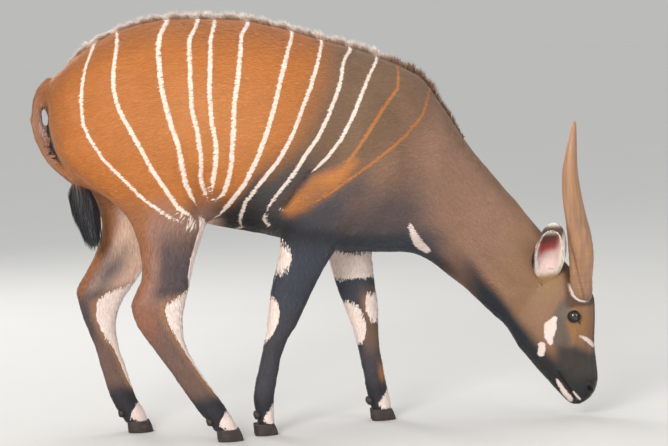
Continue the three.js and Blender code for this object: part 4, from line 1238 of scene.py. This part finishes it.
class BONGO_OT_coat(bpy.types.Operator):
    """Lays short tufts over the whole skin, in pieces from the rump to the nose"""

    bl_idname = "bongo.coat"
    bl_label = "Coat"

    def execute(self, context):
        skin, labels = BUILT["skin"], BUILT["labels"]
        points = positions(skin.data)
        s, y, z = straight(points).T
        away, _, _, fore = on_legs(points)
        wet = read(skin.data.attributes["marks"].data, "vector")[:, 1] > 0.4
        for side in SIDES.values():
            wet |= np.linalg.norm(points - eye_frame(side)[0], axis=1) < 0.0262
        low = (z < 0.60) & (s < 0.36) & (away < 0.16) & ~((z > 0.545) & (np.abs(y) < 0.035))
        bare = wet | (z < 0.036)
        trunk = {"coat_rump": (-FAR, -0.52), "coat_flank": (-0.52, -0.22), "coat_barrel": (-0.22, 0.06),
                 "coat_shoulder": (0.06, 0.30)}
        regions = {name: ((s >= start) & (s < end) & ~low, "coat_body") for name, (start, end) in trunk.items()}
        regions |= {
            "coat_neck": ((s >= 0.30) & (s < 0.61), "coat_neck"),
            "coat_head": ((s >= 0.61) & (labels != 2), "coat_head"),
            "coat_ears": (labels == 2, "ear_skin"),
            "coat_hind_legs": (low & (fore < 0.5), "coat_leg"),
            "coat_fore_legs": (low & (fore > 0.5), "coat_leg"),
        }
        share = 1.0
        material = coat_finish("coat", False)
        for number, (name, (wanted, slot)) in enumerate(regions.items()):
            rng = np.random.default_rng(100 + number)
            roots, normals, kinds = skin_roots(skin, wanted & ~bare, int(TUFTS.get(name, BODY_TUFTS) * share), rng)
            self.tufts(name, roots, normals, kinds, rng, material, slot)
        return {"FINISHED"}

    def tufts(self, name, roots, normals, kinds, rng, material, slot):
        size = sizes()
        count = len(roots)
        s, _, z = straight(roots).T
        lie = lie_of(roots, normals, kinds)
        lie = unit(lie + np.cross(normals, lie) * rng.normal(0, 0.16, count)[:, None])
        head = ramp(s, 0.56, 0.68)
        muzzle = ramp(z, 0.30, 0.12) * head
        foot = ramp(z, 0.45, 0.15) * (1 - head)
        small = np.clip(head + 0.42 * foot, 0, 1)
        length = size.coat_length * (1 - small) + size.face_length * small
        width = size.coat_width * (1 - small) + size.face_width * small
        length = length * (1 - 0.35 * muzzle)
        belly = ramp(z - np.interp(s, *UNDER.T), 0.05, 0.0) * (s < 0.62) * (z > 0.5)
        length = length * (1 + 0.7 * belly) * rng.uniform(0.75, 1.25, count)
        length = np.where(kinds == 1, length * 1.35, length)
        length = np.where(kinds == 2, 0.011, length)
        width = width * rng.uniform(0.8, 1.25, count)
        lift = size.coat_lift * (1 - 0.55 * small) * rng.uniform(0.5, 1.35, count)
        tree = BUILT["tree"]
        path = np.stack([roots - normals * ROOT_DEPTH, roots + lie * (length * 0.5)[:, None],
                         roots + lie * length[:, None]], 1)
        for step, height in ((1, lift * 0.62), (2, lift)):
            for k in range(count):
                spot, normal, _, _ = tree.find_nearest(path[k, step])
                path[k, step] = (spot.x + normal.x * height[k], spot.y + normal.y * height[k],
                                 spot.z + normal.z * height[k])
        across = np.cross(normals, lie)
        half = np.stack([width * 0.42, width * 0.5, 0 * width], 1)
        ends = [paint(path[:, k], normals, kinds) for k in (0, 2)]
        shade = rng.random(count)
        reach = np.array([0.12, 0.5, 0.72]) * rng.uniform(0.7, 1.3, (count, 1))
        fields = {}
        for key, at_root, at_tip in zip(("tint", "stripe", "marks"), *ends):
            fields[key] = at_root[:, None] * (1 - reach[..., None]) + at_tip[:, None] * reach[..., None]
        # A tuft across the middle of two stripes keeps its root's own index
        jump = np.abs(ends[0][1][:, 0] - ends[1][1][:, 0]) > 0.6
        fields["stripe"][jump] = ends[0][1][jump][:, None]
        fields["fur"] = np.stack([np.tile([0.0, 0.6, 1.0], (count, 1)), np.repeat(shade[:, None], 3, 1),
                                  np.zeros((count, 3))], 2)
        wobble = unit(normals + rng.normal(0, 0.10, (count, 3)))
        spread = np.repeat(wobble[:, None], 3, 1)
        obj = lock_mesh(name, path, across[:, None], normals[:, None], half, 0.55, unwrap_place(roots), fields, spread)
        finish_piece(obj, material, slot)


def hair_finish(name, roughness, sheen):
    """Long hair with its own tint, a little darker at the roots and streaked."""
    made = Finish(name, specular_ior_level=0.4, sheen_weight=sheen, sheen_roughness=0.4)
    tip, shade, _ = made.parts(made.attribute("fur"))
    fleck = made.noise(300.0, 1.0) - 0.5
    tint = made.scale(made.attribute("tint"), 0.78 + tip * 0.25 + (shade - 0.5) * 0.5 + fleck * 0.2)
    made.give("Base Color", tint)
    made.give("Roughness", roughness + fleck * 0.15)
    return made.material


def hair_fields(tint_rows, shade, steps):
    count = len(shade)
    rise = np.tile(np.linspace(0, 1, steps), (count, 1))
    return {"tint": tint_rows, "fur": np.stack([rise, np.repeat(shade[:, None], steps, 1), 0 * rise], 2)}


class BONGO_OT_crest(bpy.types.Operator):
    """Stands the crest of thin locks along the back and neck, white where the stripes reach it"""

    bl_idname = "bongo.crest"
    bl_label = "Crest"

    def execute(self, context):
        size, tree = sizes(), BUILT["tree"]
        rng = np.random.default_rng(7)
        count = int(size.crest_locks * (1))
        s = -0.73 + 1.20 * (np.arange(count) + rng.random(count)) / count
        aside = rng.normal(0, 0.0062, count)
        roots = bend(np.stack([s, aside, np.full(count, 1.6)], 1))
        for k in range(count):
            hit = tree.ray_cast(roots[k], (0, 0, -1))[0]
            roots[k] = hit if hit else (roots[k][0], roots[k][1], np.interp(s[k], *BACK.T))
        slope = np.gradient(BACK[:, 1], BACK[:, 0])
        pitch = np.arctan(np.interp(s, BACK[:, 0], slope))
        back = np.stack([-np.cos(pitch), 0 * s, -np.sin(pitch)], 1)
        up = np.stack([-np.sin(pitch), 0 * s, np.cos(pitch)], 1)
        lean = rng.normal(0.0, 0.24, count) + 0.42
        fan = aside / 0.012 * 0.35 + rng.normal(0, 0.16, count)
        aim = unit(up * np.cos(lean)[:, None] + back * np.sin(lean)[:, None] + np.array([0, 1, 0]) * fan[:, None])
        clump = 0.5 + 0.5 * np.sin(s * 150 + 2 * np.sin(s * 37))
        height = size.crest_height * (0.52 + 0.3 * clump + rng.uniform(-0.18, 0.22, count))
        height *= ramp(s, -0.745, -0.66) * 0.75 + 0.25
        height *= 1 - 0.55 * ramp(s, 0.36, 0.47)
        height *= 1 - 0.25 * bell(s, -0.60, 0.10)
        bow = rng.normal(0, 0.12, count)
        steps = np.array([-0.08, 0.33, 0.68, 1.0])
        ahead, behind = bend_direction(aim, s), bend_direction(back, s)
        flow = np.stack([roots + ahead * (height * t)[:, None]
                         + behind * (height * (0.22 + bow) * t * t)[:, None] * (t > 0) for t in steps], 1)
        across = unit(np.cross(aim, up + [0, 0.2, 0.1]))[:, None]
        outward = np.cross(across, unit(flow[:, 1:] - flow[:, :-1]))
        half = np.array([0.0008, 0.0010, 0.0006, 0]) * rng.uniform(0.75, 1.3, (count, 1))
        index, gap, _ = stripe_field(s, 0 * s, np.interp(s, *BACK.T) - 0.01)
        near = np.abs(index - np.round(index)) * gap
        white = ramp(near + rng.normal(0, 0.003, count), 0.014, 0.007) * (s < 0.24) * (s > -0.70)
        dark = ramp(s, 0.18, 0.34)[:, None]
        # The roots' colour is lifted above the real brown to make up for the shade between the locks: partly painted
        # light
        base = colour("crest_root") * (1 - 0.4 * dark) + colour("forehead") * 0.4 * dark
        tips = colour("crest_tip") * (1 - dark) + colour("umber") * dark
        rows = []
        grey = rng.uniform(0.6, 1.0, count)[:, None]
        for t in np.clip(steps, 0, 1):
            plain = base * (1 - grey * ramp(t, 0.10, 0.70)) + tips * grey * ramp(t, 0.10, 0.70)
            rows.append(plain * (1 - white[:, None]) + colour("stripe") * white[:, None])
        tint = np.stack(rows, 1)
        obj = lock_mesh("crest_hair", flow, across, outward, half, 0.8, unwrap_place(roots),
                        hair_fields(tint, rng.random(count), 4))
        finish_piece(obj, hair_finish("crest_hair", 0.55, 0.1), "coat_body")
        return {"FINISHED"}


class BONGO_OT_tail_tuft(bpy.types.Operator):
    """Hangs the long black locks at the tail's end"""

    bl_idname = "bongo.tail_tuft"
    bl_label = "Tail tuft"

    def execute(self, context):
        size = sizes()
        rng = np.random.default_rng(8)
        count = int(size.tuft_locks * (1))
        turn, depth = rng.uniform(0, 2 * math.pi, count), np.sqrt(rng.random(count))
        climb = rng.random(count) ** 1.4
        way = unit(TAIL[-1] - TAIL[-2])
        centre = TUFT_TOP - np.array([way[0], 0, way[1]]) * (climb * 0.040)[:, None] - [SHIFT, 0, 0.004]
        outward = np.stack([np.cos(turn), 0.85 * np.sin(turn), 0 * turn], 1)
        roots = centre + outward * (0.013 * depth)[:, None]
        length = size.tuft_length * rng.uniform(0.62, 1.0, count) * (1 - 0.12 * depth) * (1 - 0.32 * climb)
        clump = np.sin(turn * 5 + 1.3) * 0.5 + np.sin(turn * 9) * 0.3
        swell = (0.0185 + 0.005 * clump) * (0.35 + 0.65 * depth)
        gather = rng.uniform(0.10, 0.85, count)
        steps = np.linspace(0, 1, 6)
        path = []
        for t in steps:
            wide = swell * (np.sin(min(1, t * 1.9) * math.pi / 2) - gather * max(0, t - 0.45) ** 1.3 * 1.2)
            fall = (length * t)[:, None] * np.array([0.060 + 0.03 * t, 0, -1.0])
            curl = (0.004 * np.sin(t * 5 + turn * 3) * t)[:, None] * np.array([0.7, 1, 0])
            path.append(roots + outward * wide[:, None] + fall + curl)
        path = np.stack(path, 1)
        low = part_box("tail_tuft")[0].z
        path[..., 2] = np.maximum(path[..., 2], low + 0.003 + 0.02 * rng.random((count, 1)))
        along = unit(np.gradient(path, axis=1))[:, :-1]
        across = unit(np.cross(outward[:, None], along))
        half = np.array([0.0016, 0.0021, 0.0021, 0.0017, 0.0011, 0]) * rng.uniform(0.7, 1.25, (count, 1))
        brown = (rng.random(count) < 0.10)[:, None] * 0.5
        rows = []
        for t in steps:
            top = ramp(t, 0.25, 0.0) * ramp(climb, 0.35, 0.85)[:, None]
            mixed = colour("tail_tuft") * (1 - brown * (1 - t)) + colour("tail") * brown * (1 - t) * 0.5
            rows.append(mixed * (1 - 0.7 * top) + colour("tail") * 0.7 * top)
        obj = lock_mesh("tail_tuft_hair", path, across, np.cross(along, across), half, 0.8,
                        np.stack([turn / 6.4 + 0.01, 0.01 + 0.98 * depth], 1),
                        hair_fields(np.stack(rows, 1), rng.random(count), 6))
        finish_piece(obj, hair_finish("tail_tuft_hair", 0.42, 0.2), "tuft_hair", "tail_tuft")
        return {"FINISHED"}


class BONGO_OT_ear_hair(bpy.types.Operator):
    """Adds the pale fringe inside and along the ears' rims"""

    bl_idname = "bongo.ear_hair"
    bl_label = "Ear hair"

    def execute(self, context):
        rng = np.random.default_rng(9)
        paths, acrosses, ups, tints, roots_all = [], [], [], [], []
        for side in SIDES.values():
            count = EAR_HAIRS
            root, aim, opened, across = ear_axes(side)
            t = rng.uniform(0.16, 0.93, count)
            half, deep, _ = ear_slice(t, root, aim, opened)
            rim = rng.random(count) < 0.85
            edge = np.where(rng.random(count) < 0.62, 1, -1) * (-1 if side > 0 else 1)
            angle = np.where(rim, edge * rng.uniform(1.30, 1.50, count), rng.uniform(-0.9, 0.9, count))
            t = np.where(rim, t, 0.12 + 0.12 * t)
            middle = ear_slice(t, root, aim, opened)[2]
            back = np.cos(angle) * deep - 0.0042
            roots = middle + across * (np.sin(angle) * half * 0.965)[:, None] - opened * back[:, None]
            inward = unit(-across * np.sin(angle)[:, None] * 0.75 + aim * rng.uniform(0.5, 1.1, count)[:, None]
                          + opened * rng.uniform(0.15, 0.5, count)[:, None])
            length = rng.uniform(0.010, 0.021, count) * (1 - 0.35 * t)
            steps = np.array([0, 0.35, 0.7, 1.0])
            path = np.stack([roots + inward * (length * k)[:, None] + aim * (length * 0.35 * k * k)[:, None]
                             for k in steps], 1)
            paths.append(bend(path))
            side_way = unit(np.cross(inward, opened + 0.001))
            acrosses.append(bend_direction(side_way, np.full(count, 0.72)))
            ups.append(bend_direction(unit(np.cross(side_way, inward)), np.full(count, 0.72)))
            tints.append(np.repeat((colour("rim_hair") * rng.uniform(0.8, 1.05, (count, 1)))[:, None], 4, 1))
            roots_all.append(np.stack([0.02 + 0.45 * (side > 0) + 0.45 * t, 0.5 + 0.3 * angle], 1))
        path, across, up = np.vstack(paths), np.vstack(acrosses), np.vstack(ups)
        half = np.array([0.0006, 0.0007, 0.0004, 0]) * rng.uniform(0.8, 1.3, (len(path), 1))
        obj = lock_mesh("ear_hair", path, across[:, None], up[:, None], half, 0.7, np.vstack(roots_all),
                        hair_fields(np.vstack(tints), rng.random(len(path)), 4))
        finish_piece(obj, hair_finish("ear_hair", 0.55, 0.1), "ear_skin")
        return {"FINISHED"}


def horn_twist(z):
    """Share of the horn's height at z, and how far its keel has turned there."""
    up = (z - HORN_FOOT) / HORN_RISE
    return up, 0.25 + 3.6 * np.maximum(up, 0) ** 0.75


class BONGO_OT_horns(bpy.types.Operator):
    """Turns the two horns, each with its keel, groove and growth rings"""

    bl_idname = "bongo.horns"
    bl_label = "Horns"

    def execute(self, context):
        made = Finish("horn", specular_ior_level=0.45)
        rise, groove, keel = made.parts(made.attribute("horn"))
        streak = made.noise(1.0, 4.0, 0.65, made.mapping((90.0, 90.0, 7.0)))
        fibre = made.noise(1.0, 2.0, 0.6, made.mapping((420.0, 420.0, 26.0)))
        cloud = made.noise(14.0, 3.0)
        rings = made.maths("SINE", rise * 330.0 + cloud * 7.0)
        tint = made.mix(colour("horn"), colour("horn_dark"), made.step(streak + keel * 0.12, 0.40, 0.80) * 0.75)
        tint = made.mix(tint, colour("face_band"), made.step(cloud, 0.52, 0.75) * 0.5)
        tint = made.mix(tint, colour("horn_dark"), made.step(rise, 0.16, 0.0) * 0.7)
        tint = made.mix(tint, colour("horn_tip"), made.step(rise, 0.88, 1.02))
        # Painted highlight: the keel is lightened with the tip's colour
        tint = made.mix(tint, colour("horn_tip"), keel * 0.35 * made.step(rise, 0.1, 0.3))
        # Painted shade: the groove, pressed into the horn, is darkened with the forehead colour
        tint = made.mix(tint, colour("forehead"), groove * 0.6)
        made.give("Base Color", made.scale(tint, 0.84 + fibre * 0.32))
        made.give("Roughness", 0.34 + fibre * 0.22)
        made.bump(fibre * 0.5 + streak * 0.8 + rings * made.step(rise, 0.55, 0.05) * 0.25, 0.0011, 0.8)
        rows = smooth_rows(HORN_LINE, 16)
        lengths = np.linspace(0, 1, len(rows))
        for name, side in SIDES.items():

            def place_points(turn, v):
                z, x, out, deep, wide = (np.interp(v, lengths, rows[:, k]) for k in range(5))
                up, twist = horn_twist(z)
                size = 0.93 + 0.19 * bell(wrap(turn), 0, 0.40) + 0.08 * bell(wrap(turn - math.pi), 0, 0.5)
                size = size - 0.045 * bell(wrap(turn - 0.75), 0, 0.20) + 0.006 * np.sin(turn * 9 + 3 * up)
                size = size + 0.010 * np.sin(up * 150 + 0.8 * np.sin(turn)) * ramp(up, 0.55, 0.25) * ramp(up, 0.0, 0.05)
                ahead, aside = size * np.cos(turn + twist), size * np.sin(turn + twist)
                return bend(np.stack([x + deep * ahead, side * (out + wide * aside), z], 1))

            horn = shaped_grid(f"horn_coat_{name}", place_points, 56, 150)
            flat_x, flat_y, z = straight(positions(horn.data)).T
            up, twist = horn_twist(z)
            x, out = (np.interp(z, rows[:, 0], rows[:, k]) for k in (1, 2))
            angle = np.arctan2(side * flat_y - out, flat_x - x) - twist
            keel = bell(wrap(angle), 0, 0.30)
            groove = bell(wrap(angle - 0.62), 0, 0.11) * ramp(up, 1.0, 0.85)
            write_attribute(horn.data, "horn", np.stack([up, groove, keel], 1))
            finish_piece(horn, made.material, "horn", f"horn_{name}")
        return {"FINISHED"}


class BONGO_OT_eyes(bpy.types.Operator):
    """Sets the eyeballs in their sockets, with dark wet lid rims and lashes"""

    bl_idname = "bongo.eyes"
    bl_label = "Eyes"

    def execute(self, context):
        ball = sizes().eye_radius
        glass = Finish("eye", specular_ior_level=0.6, coat_weight=1.0, coat_roughness=0.02)
        gaze = glass.parts(glass.attribute("gaze"))[0]
        iris = glass.noise(160.0, 3.0)
        tint = glass.mix(colour("eye") * 1.6, colour("eye") * 0.25, glass.step(gaze, 0.52, 0.42))
        tint = glass.mix(tint, colour("lid"), glass.step(gaze, 0.72, 0.86))
        glass.give("Base Color", glass.scale(tint, 0.7 + iris * 0.6))
        glass.give("Roughness", 0.06 + iris * 0.05)
        lid = Finish("lid", specular_ior_level=0.5)
        pores = lid.noise(700.0, 2.0)
        lid.give("Base Color", lid.mix(colour("lid"), colour("forehead"), lid.step(pores, 0.5, 0.9) * 0.5))
        lid.give("Roughness", 0.28 + pores * 0.2)
        lid.bump(pores, 0.0004)
        rng = np.random.default_rng(12)
        for name, side in SIDES.items():
            centre, n, a, b = eye_frame(side)

            def over_ball(turn, lift, wide=1.0, tall=1.0):
                """Places round the opening, lifted off the eyeball, and the way out from its middle."""
                xa, xb = OPENING[0] * wide * np.cos(turn), OPENING[1] * tall * np.sin(turn)
                flat = xa[:, None] * a + xb[:, None] * b
                height = np.sqrt(np.maximum((ball + lift) ** 2 - xa ** 2 - xb ** 2, 1e-9))
                return centre + flat + height[:, None] * n, unit(flat)

            deselect()
            bpy.ops.mesh.primitive_uv_sphere_add(segments=64, ring_count=40, radius=ball)
            eye = bpy.context.object
            eye.name = eye.data.name = f"eyeball_{name}"
            way = unit(positions(eye.data))
            ahead = way @ n
            bulge = 1 + 0.05 * ramp(ahead, 0.72, 0.95)
            place(eye.data, way * ball * bulge[:, None] + centre)
            off = np.hypot((way @ a) / 1.15, (way @ b) / 0.85)
            write_attribute(eye.data, "gaze", np.stack([off, ahead, 0 * off], 1))
            shade_smooth(eye)
            finish_piece(eye, glass.material, "eye", f"eye_{name}")
            deselect()
            bpy.ops.mesh.primitive_torus_add(major_segments=96, minor_segments=14, major_radius=1, minor_radius=0.25)
            rim = bpy.context.object
            rim.name = rim.data.name = f"lid_{name}"
            spots = positions(rim.data)
            turn = np.arctan2(spots[:, 1], spots[:, 0])
            across = np.hypot(spots[:, 0], spots[:, 1]) - 1
            up = spots[:, 2]
            corner = bell(turn, 0, 0.30)
            middle, outward = over_ball(turn, 0.0014, 1 + 0.20 * corner, 1 - 0.25 * corner)
            radial = unit(middle - centre)
            sideways = square_to(outward, radial)
            thick = (0.0011 + 0.0006 * ramp(np.sin(turn), -0.2, 0.8)) / 0.25
            new = middle + sideways * (across * thick * 1.25)[:, None] + radial * (up * thick)[:, None]
            place(rim.data, new)
            with editing(rim):
                bpy.ops.mesh.normals_make_consistent(inside=False)
            shade_smooth(rim)
            finish_piece(rim, lid.material, "coat_head")
            # Lashes on the upper lid
            count = LASHES
            sign = 1 if b[2] > -b[2] else -1
            turn = np.linspace(0.35, math.pi - 0.35, count) * sign + rng.normal(0, 0.03, count)
            roots, outward = over_ball(turn, 0.003)
            aim = unit(outward * 0.55 + n * 0.85 + rng.normal(0, 0.06, (count, 3)))
            length = rng.uniform(0.006, 0.0105, count)
            path = np.stack([roots + aim * (length * t)[:, None] + np.array([0, 0, -0.0022]) * t * t
                             for t in (0, 0.4, 0.75, 1)], 1)
            way = unit(np.cross(aim, n))
            lashes = lock_mesh(f"lashes_{name}", path, way[:, None], np.cross(way, aim)[:, None],
                               np.tile([0.00034, 0.00028, 0.0002, 0], (count, 1)), 0.9,
                               np.stack([0.1 + 0.8 * np.arange(count) / count, np.full(count, 0.5)], 1),
                               hair_fields(np.tile(colour("lid"), (count, 4, 1)), rng.random(count), 4))
            finish_piece(lashes, hair_finish(f"lashes_{name}", 0.4, 0.0), "coat_head")
        return {"FINISHED"}


class BONGO_OT_hooves(bpy.types.Operator):
    """Rounds the claws and dewclaws over the CAD ones, and gives them horn"""

    bl_idname = "bongo.hooves"
    bl_label = "Hooves"

    def execute(self, context):
        made = Finish("hoof", specular_ior_level=0.45)
        growth = made.noise(1.0, 3.0, 0.6, made.mapping((30.0, 30.0, 420.0)))
        fibre = made.noise(1.0, 2.0, 0.6, made.mapping((500.0, 500.0, 50.0)))
        dust = made.noise(60.0, 4.0, 0.7)
        tint = made.mix(colour("hoof"), colour("cannon"), made.step(growth, 0.5, 0.8) * 0.35)
        tint = made.mix(tint, colour("face"), made.step(dust, 0.55, 0.8) * 0.28)
        made.give("Base Color", made.scale(tint, 0.8 + fibre * 0.4))
        made.give("Roughness", 0.36 + dust * 0.3)
        made.bump(growth + fibre * 0.4, 0.0009, 0.8)
        for name in sorted(frame["nodes"]):
            if not name.startswith(("hoof", "dewclaw")):
                continue
            claw = copy_node(name)
            claw.name = claw.data.name = "claw_" + name
            with editing(claw):
                bpy.ops.mesh.tris_convert_to_quads(face_threshold=0.9, shape_threshold=0.9)
            points = positions(claw.data)
            low, high = points.min(0), points.max(0)
            apply_modifier(claw, "BEVEL", width=0.0014, segments=2, limit_method="ANGLE", angle_limit=math.radians(50))
            apply_modifier(claw, "SUBSURF", levels=2, render_levels=2)
            points = positions(claw.data)
            # Subdivision draws the claw in a little: it is stretched back to the CAD claw's box
            now_low, now_high = points.min(0), points.max(0)
            points = low + (points - now_low) / (now_high - now_low) * (high - low)
            place(claw.data, points)
            shade_smooth(claw)
            finish_piece(claw, made.material, "hoof", name)
        return {"FINISHED"}


# Camera of the photograph, in the body's frame
CAMERA = dict(azimuth=-6.0, elevation=5.0, roll=2.3, distance=7.630, aim=(0.057, 0, 0.637), lens=132.64)


class BONGO_OT_stage(bpy.types.Operator):
    """Sets the pale floor, soft studio light and the camera"""

    bl_idname = "bongo.stage"
    bl_label = "Stage"

    def execute(self, context):
        scene = context.scene
        made = Finish("studio_floor", specular_ior_level=0.2)
        mottle = made.noise(3.0, 3.0)
        made.give("Base Color", made.mix(colour("floor"), colour("floor") * 0.97, mottle))
        made.give("Roughness", 0.8 + mottle * 0.1)
        deselect()
        bpy.ops.mesh.primitive_grid_add(x_subdivisions=8, y_subdivisions=8, size=120)
        floor = context.object
        floor.name = floor.data.name = "studio_floor"
        points = positions(floor.data)
        points[:, 2] = -0.0004
        place(floor.data, points)
        floor.data.materials.append(made.material)
        scene.world = scene.world or bpy.data.worlds.new("studio")
        scene.world.use_nodes = True
        tree = scene.world.node_tree
        sky = tree.nodes["Background"]
        sky.inputs["Strength"].default_value = 1.0
        split = tree.nodes.new("ShaderNodeSeparateXYZ")
        tree.links.new(tree.nodes.new("ShaderNodeTexCoord").outputs["Generated"], split.inputs[0])
        climb = tree.nodes.new("ShaderNodeValToRGB")
        climb.color_ramp.elements[0].position, climb.color_ramp.elements[0].color = 0.0, (*srgb(187, 187, 185), 1)
        climb.color_ramp.elements[1].position, climb.color_ramp.elements[1].color = 0.55, (0.86, 0.88, 0.90, 1)
        tree.links.new(split.outputs[2], climb.inputs[0])
        tree.links.new(climb.outputs[0], sky.inputs["Color"])
        lights = [
            ("key", (-2.8, -5.6, 3.2), 2.6, 335, (1.0, 0.97, 0.93)),
            ("fill", (4.2, -4.2, 2.2), 3.0, 60, (0.95, 0.97, 1.0)),
            ("top", (0.4, 0.8, 4.6), 3.2, 50, (1.0, 0.99, 0.97)),
            ("rim", (-2.5, 4.2, 3.0), 2.2, 90, (0.97, 0.98, 1.0)),
        ]
        for name, spot, size, power, tint in lights:
            deselect()
            bpy.ops.object.light_add(type="AREA", location=spot)
            lamp = context.object
            lamp.name = name
            lamp.data.shape, lamp.data.size, lamp.data.energy, lamp.data.color = "DISK", size, power, tint
            lamp.rotation_euler = (Vector((0, 0, 0.6)) - Vector(spot)).to_track_quat("-Z", "Y").to_euler()
        azimuth, elevation, roll = (math.radians(CAMERA[k]) for k in ("azimuth", "elevation", "roll"))
        back = Vector((math.sin(azimuth) * math.cos(elevation), -math.cos(azimuth) * math.cos(elevation),
                       math.sin(elevation)))
        level = Vector((math.cos(azimuth), math.sin(azimuth), 0))
        above = level.cross(-back)
        right = level * math.cos(roll) - above * math.sin(roll)
        up = level * math.sin(roll) + above * math.cos(roll)
        eye = Vector(CAMERA["aim"]) + back * CAMERA["distance"] - Vector((SHIFT, 0, 0))
        data = bpy.data.cameras.new("photo_camera")
        data.lens, data.sensor_width, data.clip_end = CAMERA["lens"], 36, 200
        camera = bpy.data.objects.new("photo_camera", data)
        scene.collection.objects.link(camera)
        camera.matrix_world = Matrix.Translation(eye) @ Matrix((right, up, back)).transposed().to_4x4()
        scene.camera = camera
        scene.view_settings.view_transform = "Standard"
        return {"FINISHED"}


OPERATORS = [BONGO_OT_skin, BONGO_OT_coat, BONGO_OT_crest, BONGO_OT_tail_tuft, BONGO_OT_ear_hair, BONGO_OT_horns,
             BONGO_OT_eyes, BONGO_OT_hooves, BONGO_OT_stage]


class BONGO_PT_panel(bpy.types.Panel):
    """Lists the model's pieces in the sidebar"""

    bl_label = "Bongo antelope"
    bl_space_type = "VIEW_3D"
    bl_region_type = "UI"
    bl_category = "Bongo"

    def draw(self, context):
        for operator in OPERATORS:
            self.layout.operator(operator.bl_idname, text=operator.bl_label)
        for key in SIZES:
            self.layout.prop(context.scene.bongo_sizes, key)


CLASSES = [BongoColours, BongoSizes, *OPERATORS, BONGO_PT_panel]


def register():
    for item in CLASSES:
        bpy.utils.register_class(item)
    bpy.types.Scene.bongo_colours = PointerProperty(type=BongoColours)
    bpy.types.Scene.bongo_sizes = PointerProperty(type=BongoSizes)


def unregister():
    del bpy.types.Scene.bongo_colours
    del bpy.types.Scene.bongo_sizes
    for item in reversed(CLASSES):
        bpy.utils.unregister_class(item)


def main():
    register()
    for operator in OPERATORS:
        group, name = operator.bl_idname.split(".")
        getattr(getattr(bpy.ops, group), name)()
    deselect()


if __name__ == "__main__":
    main()
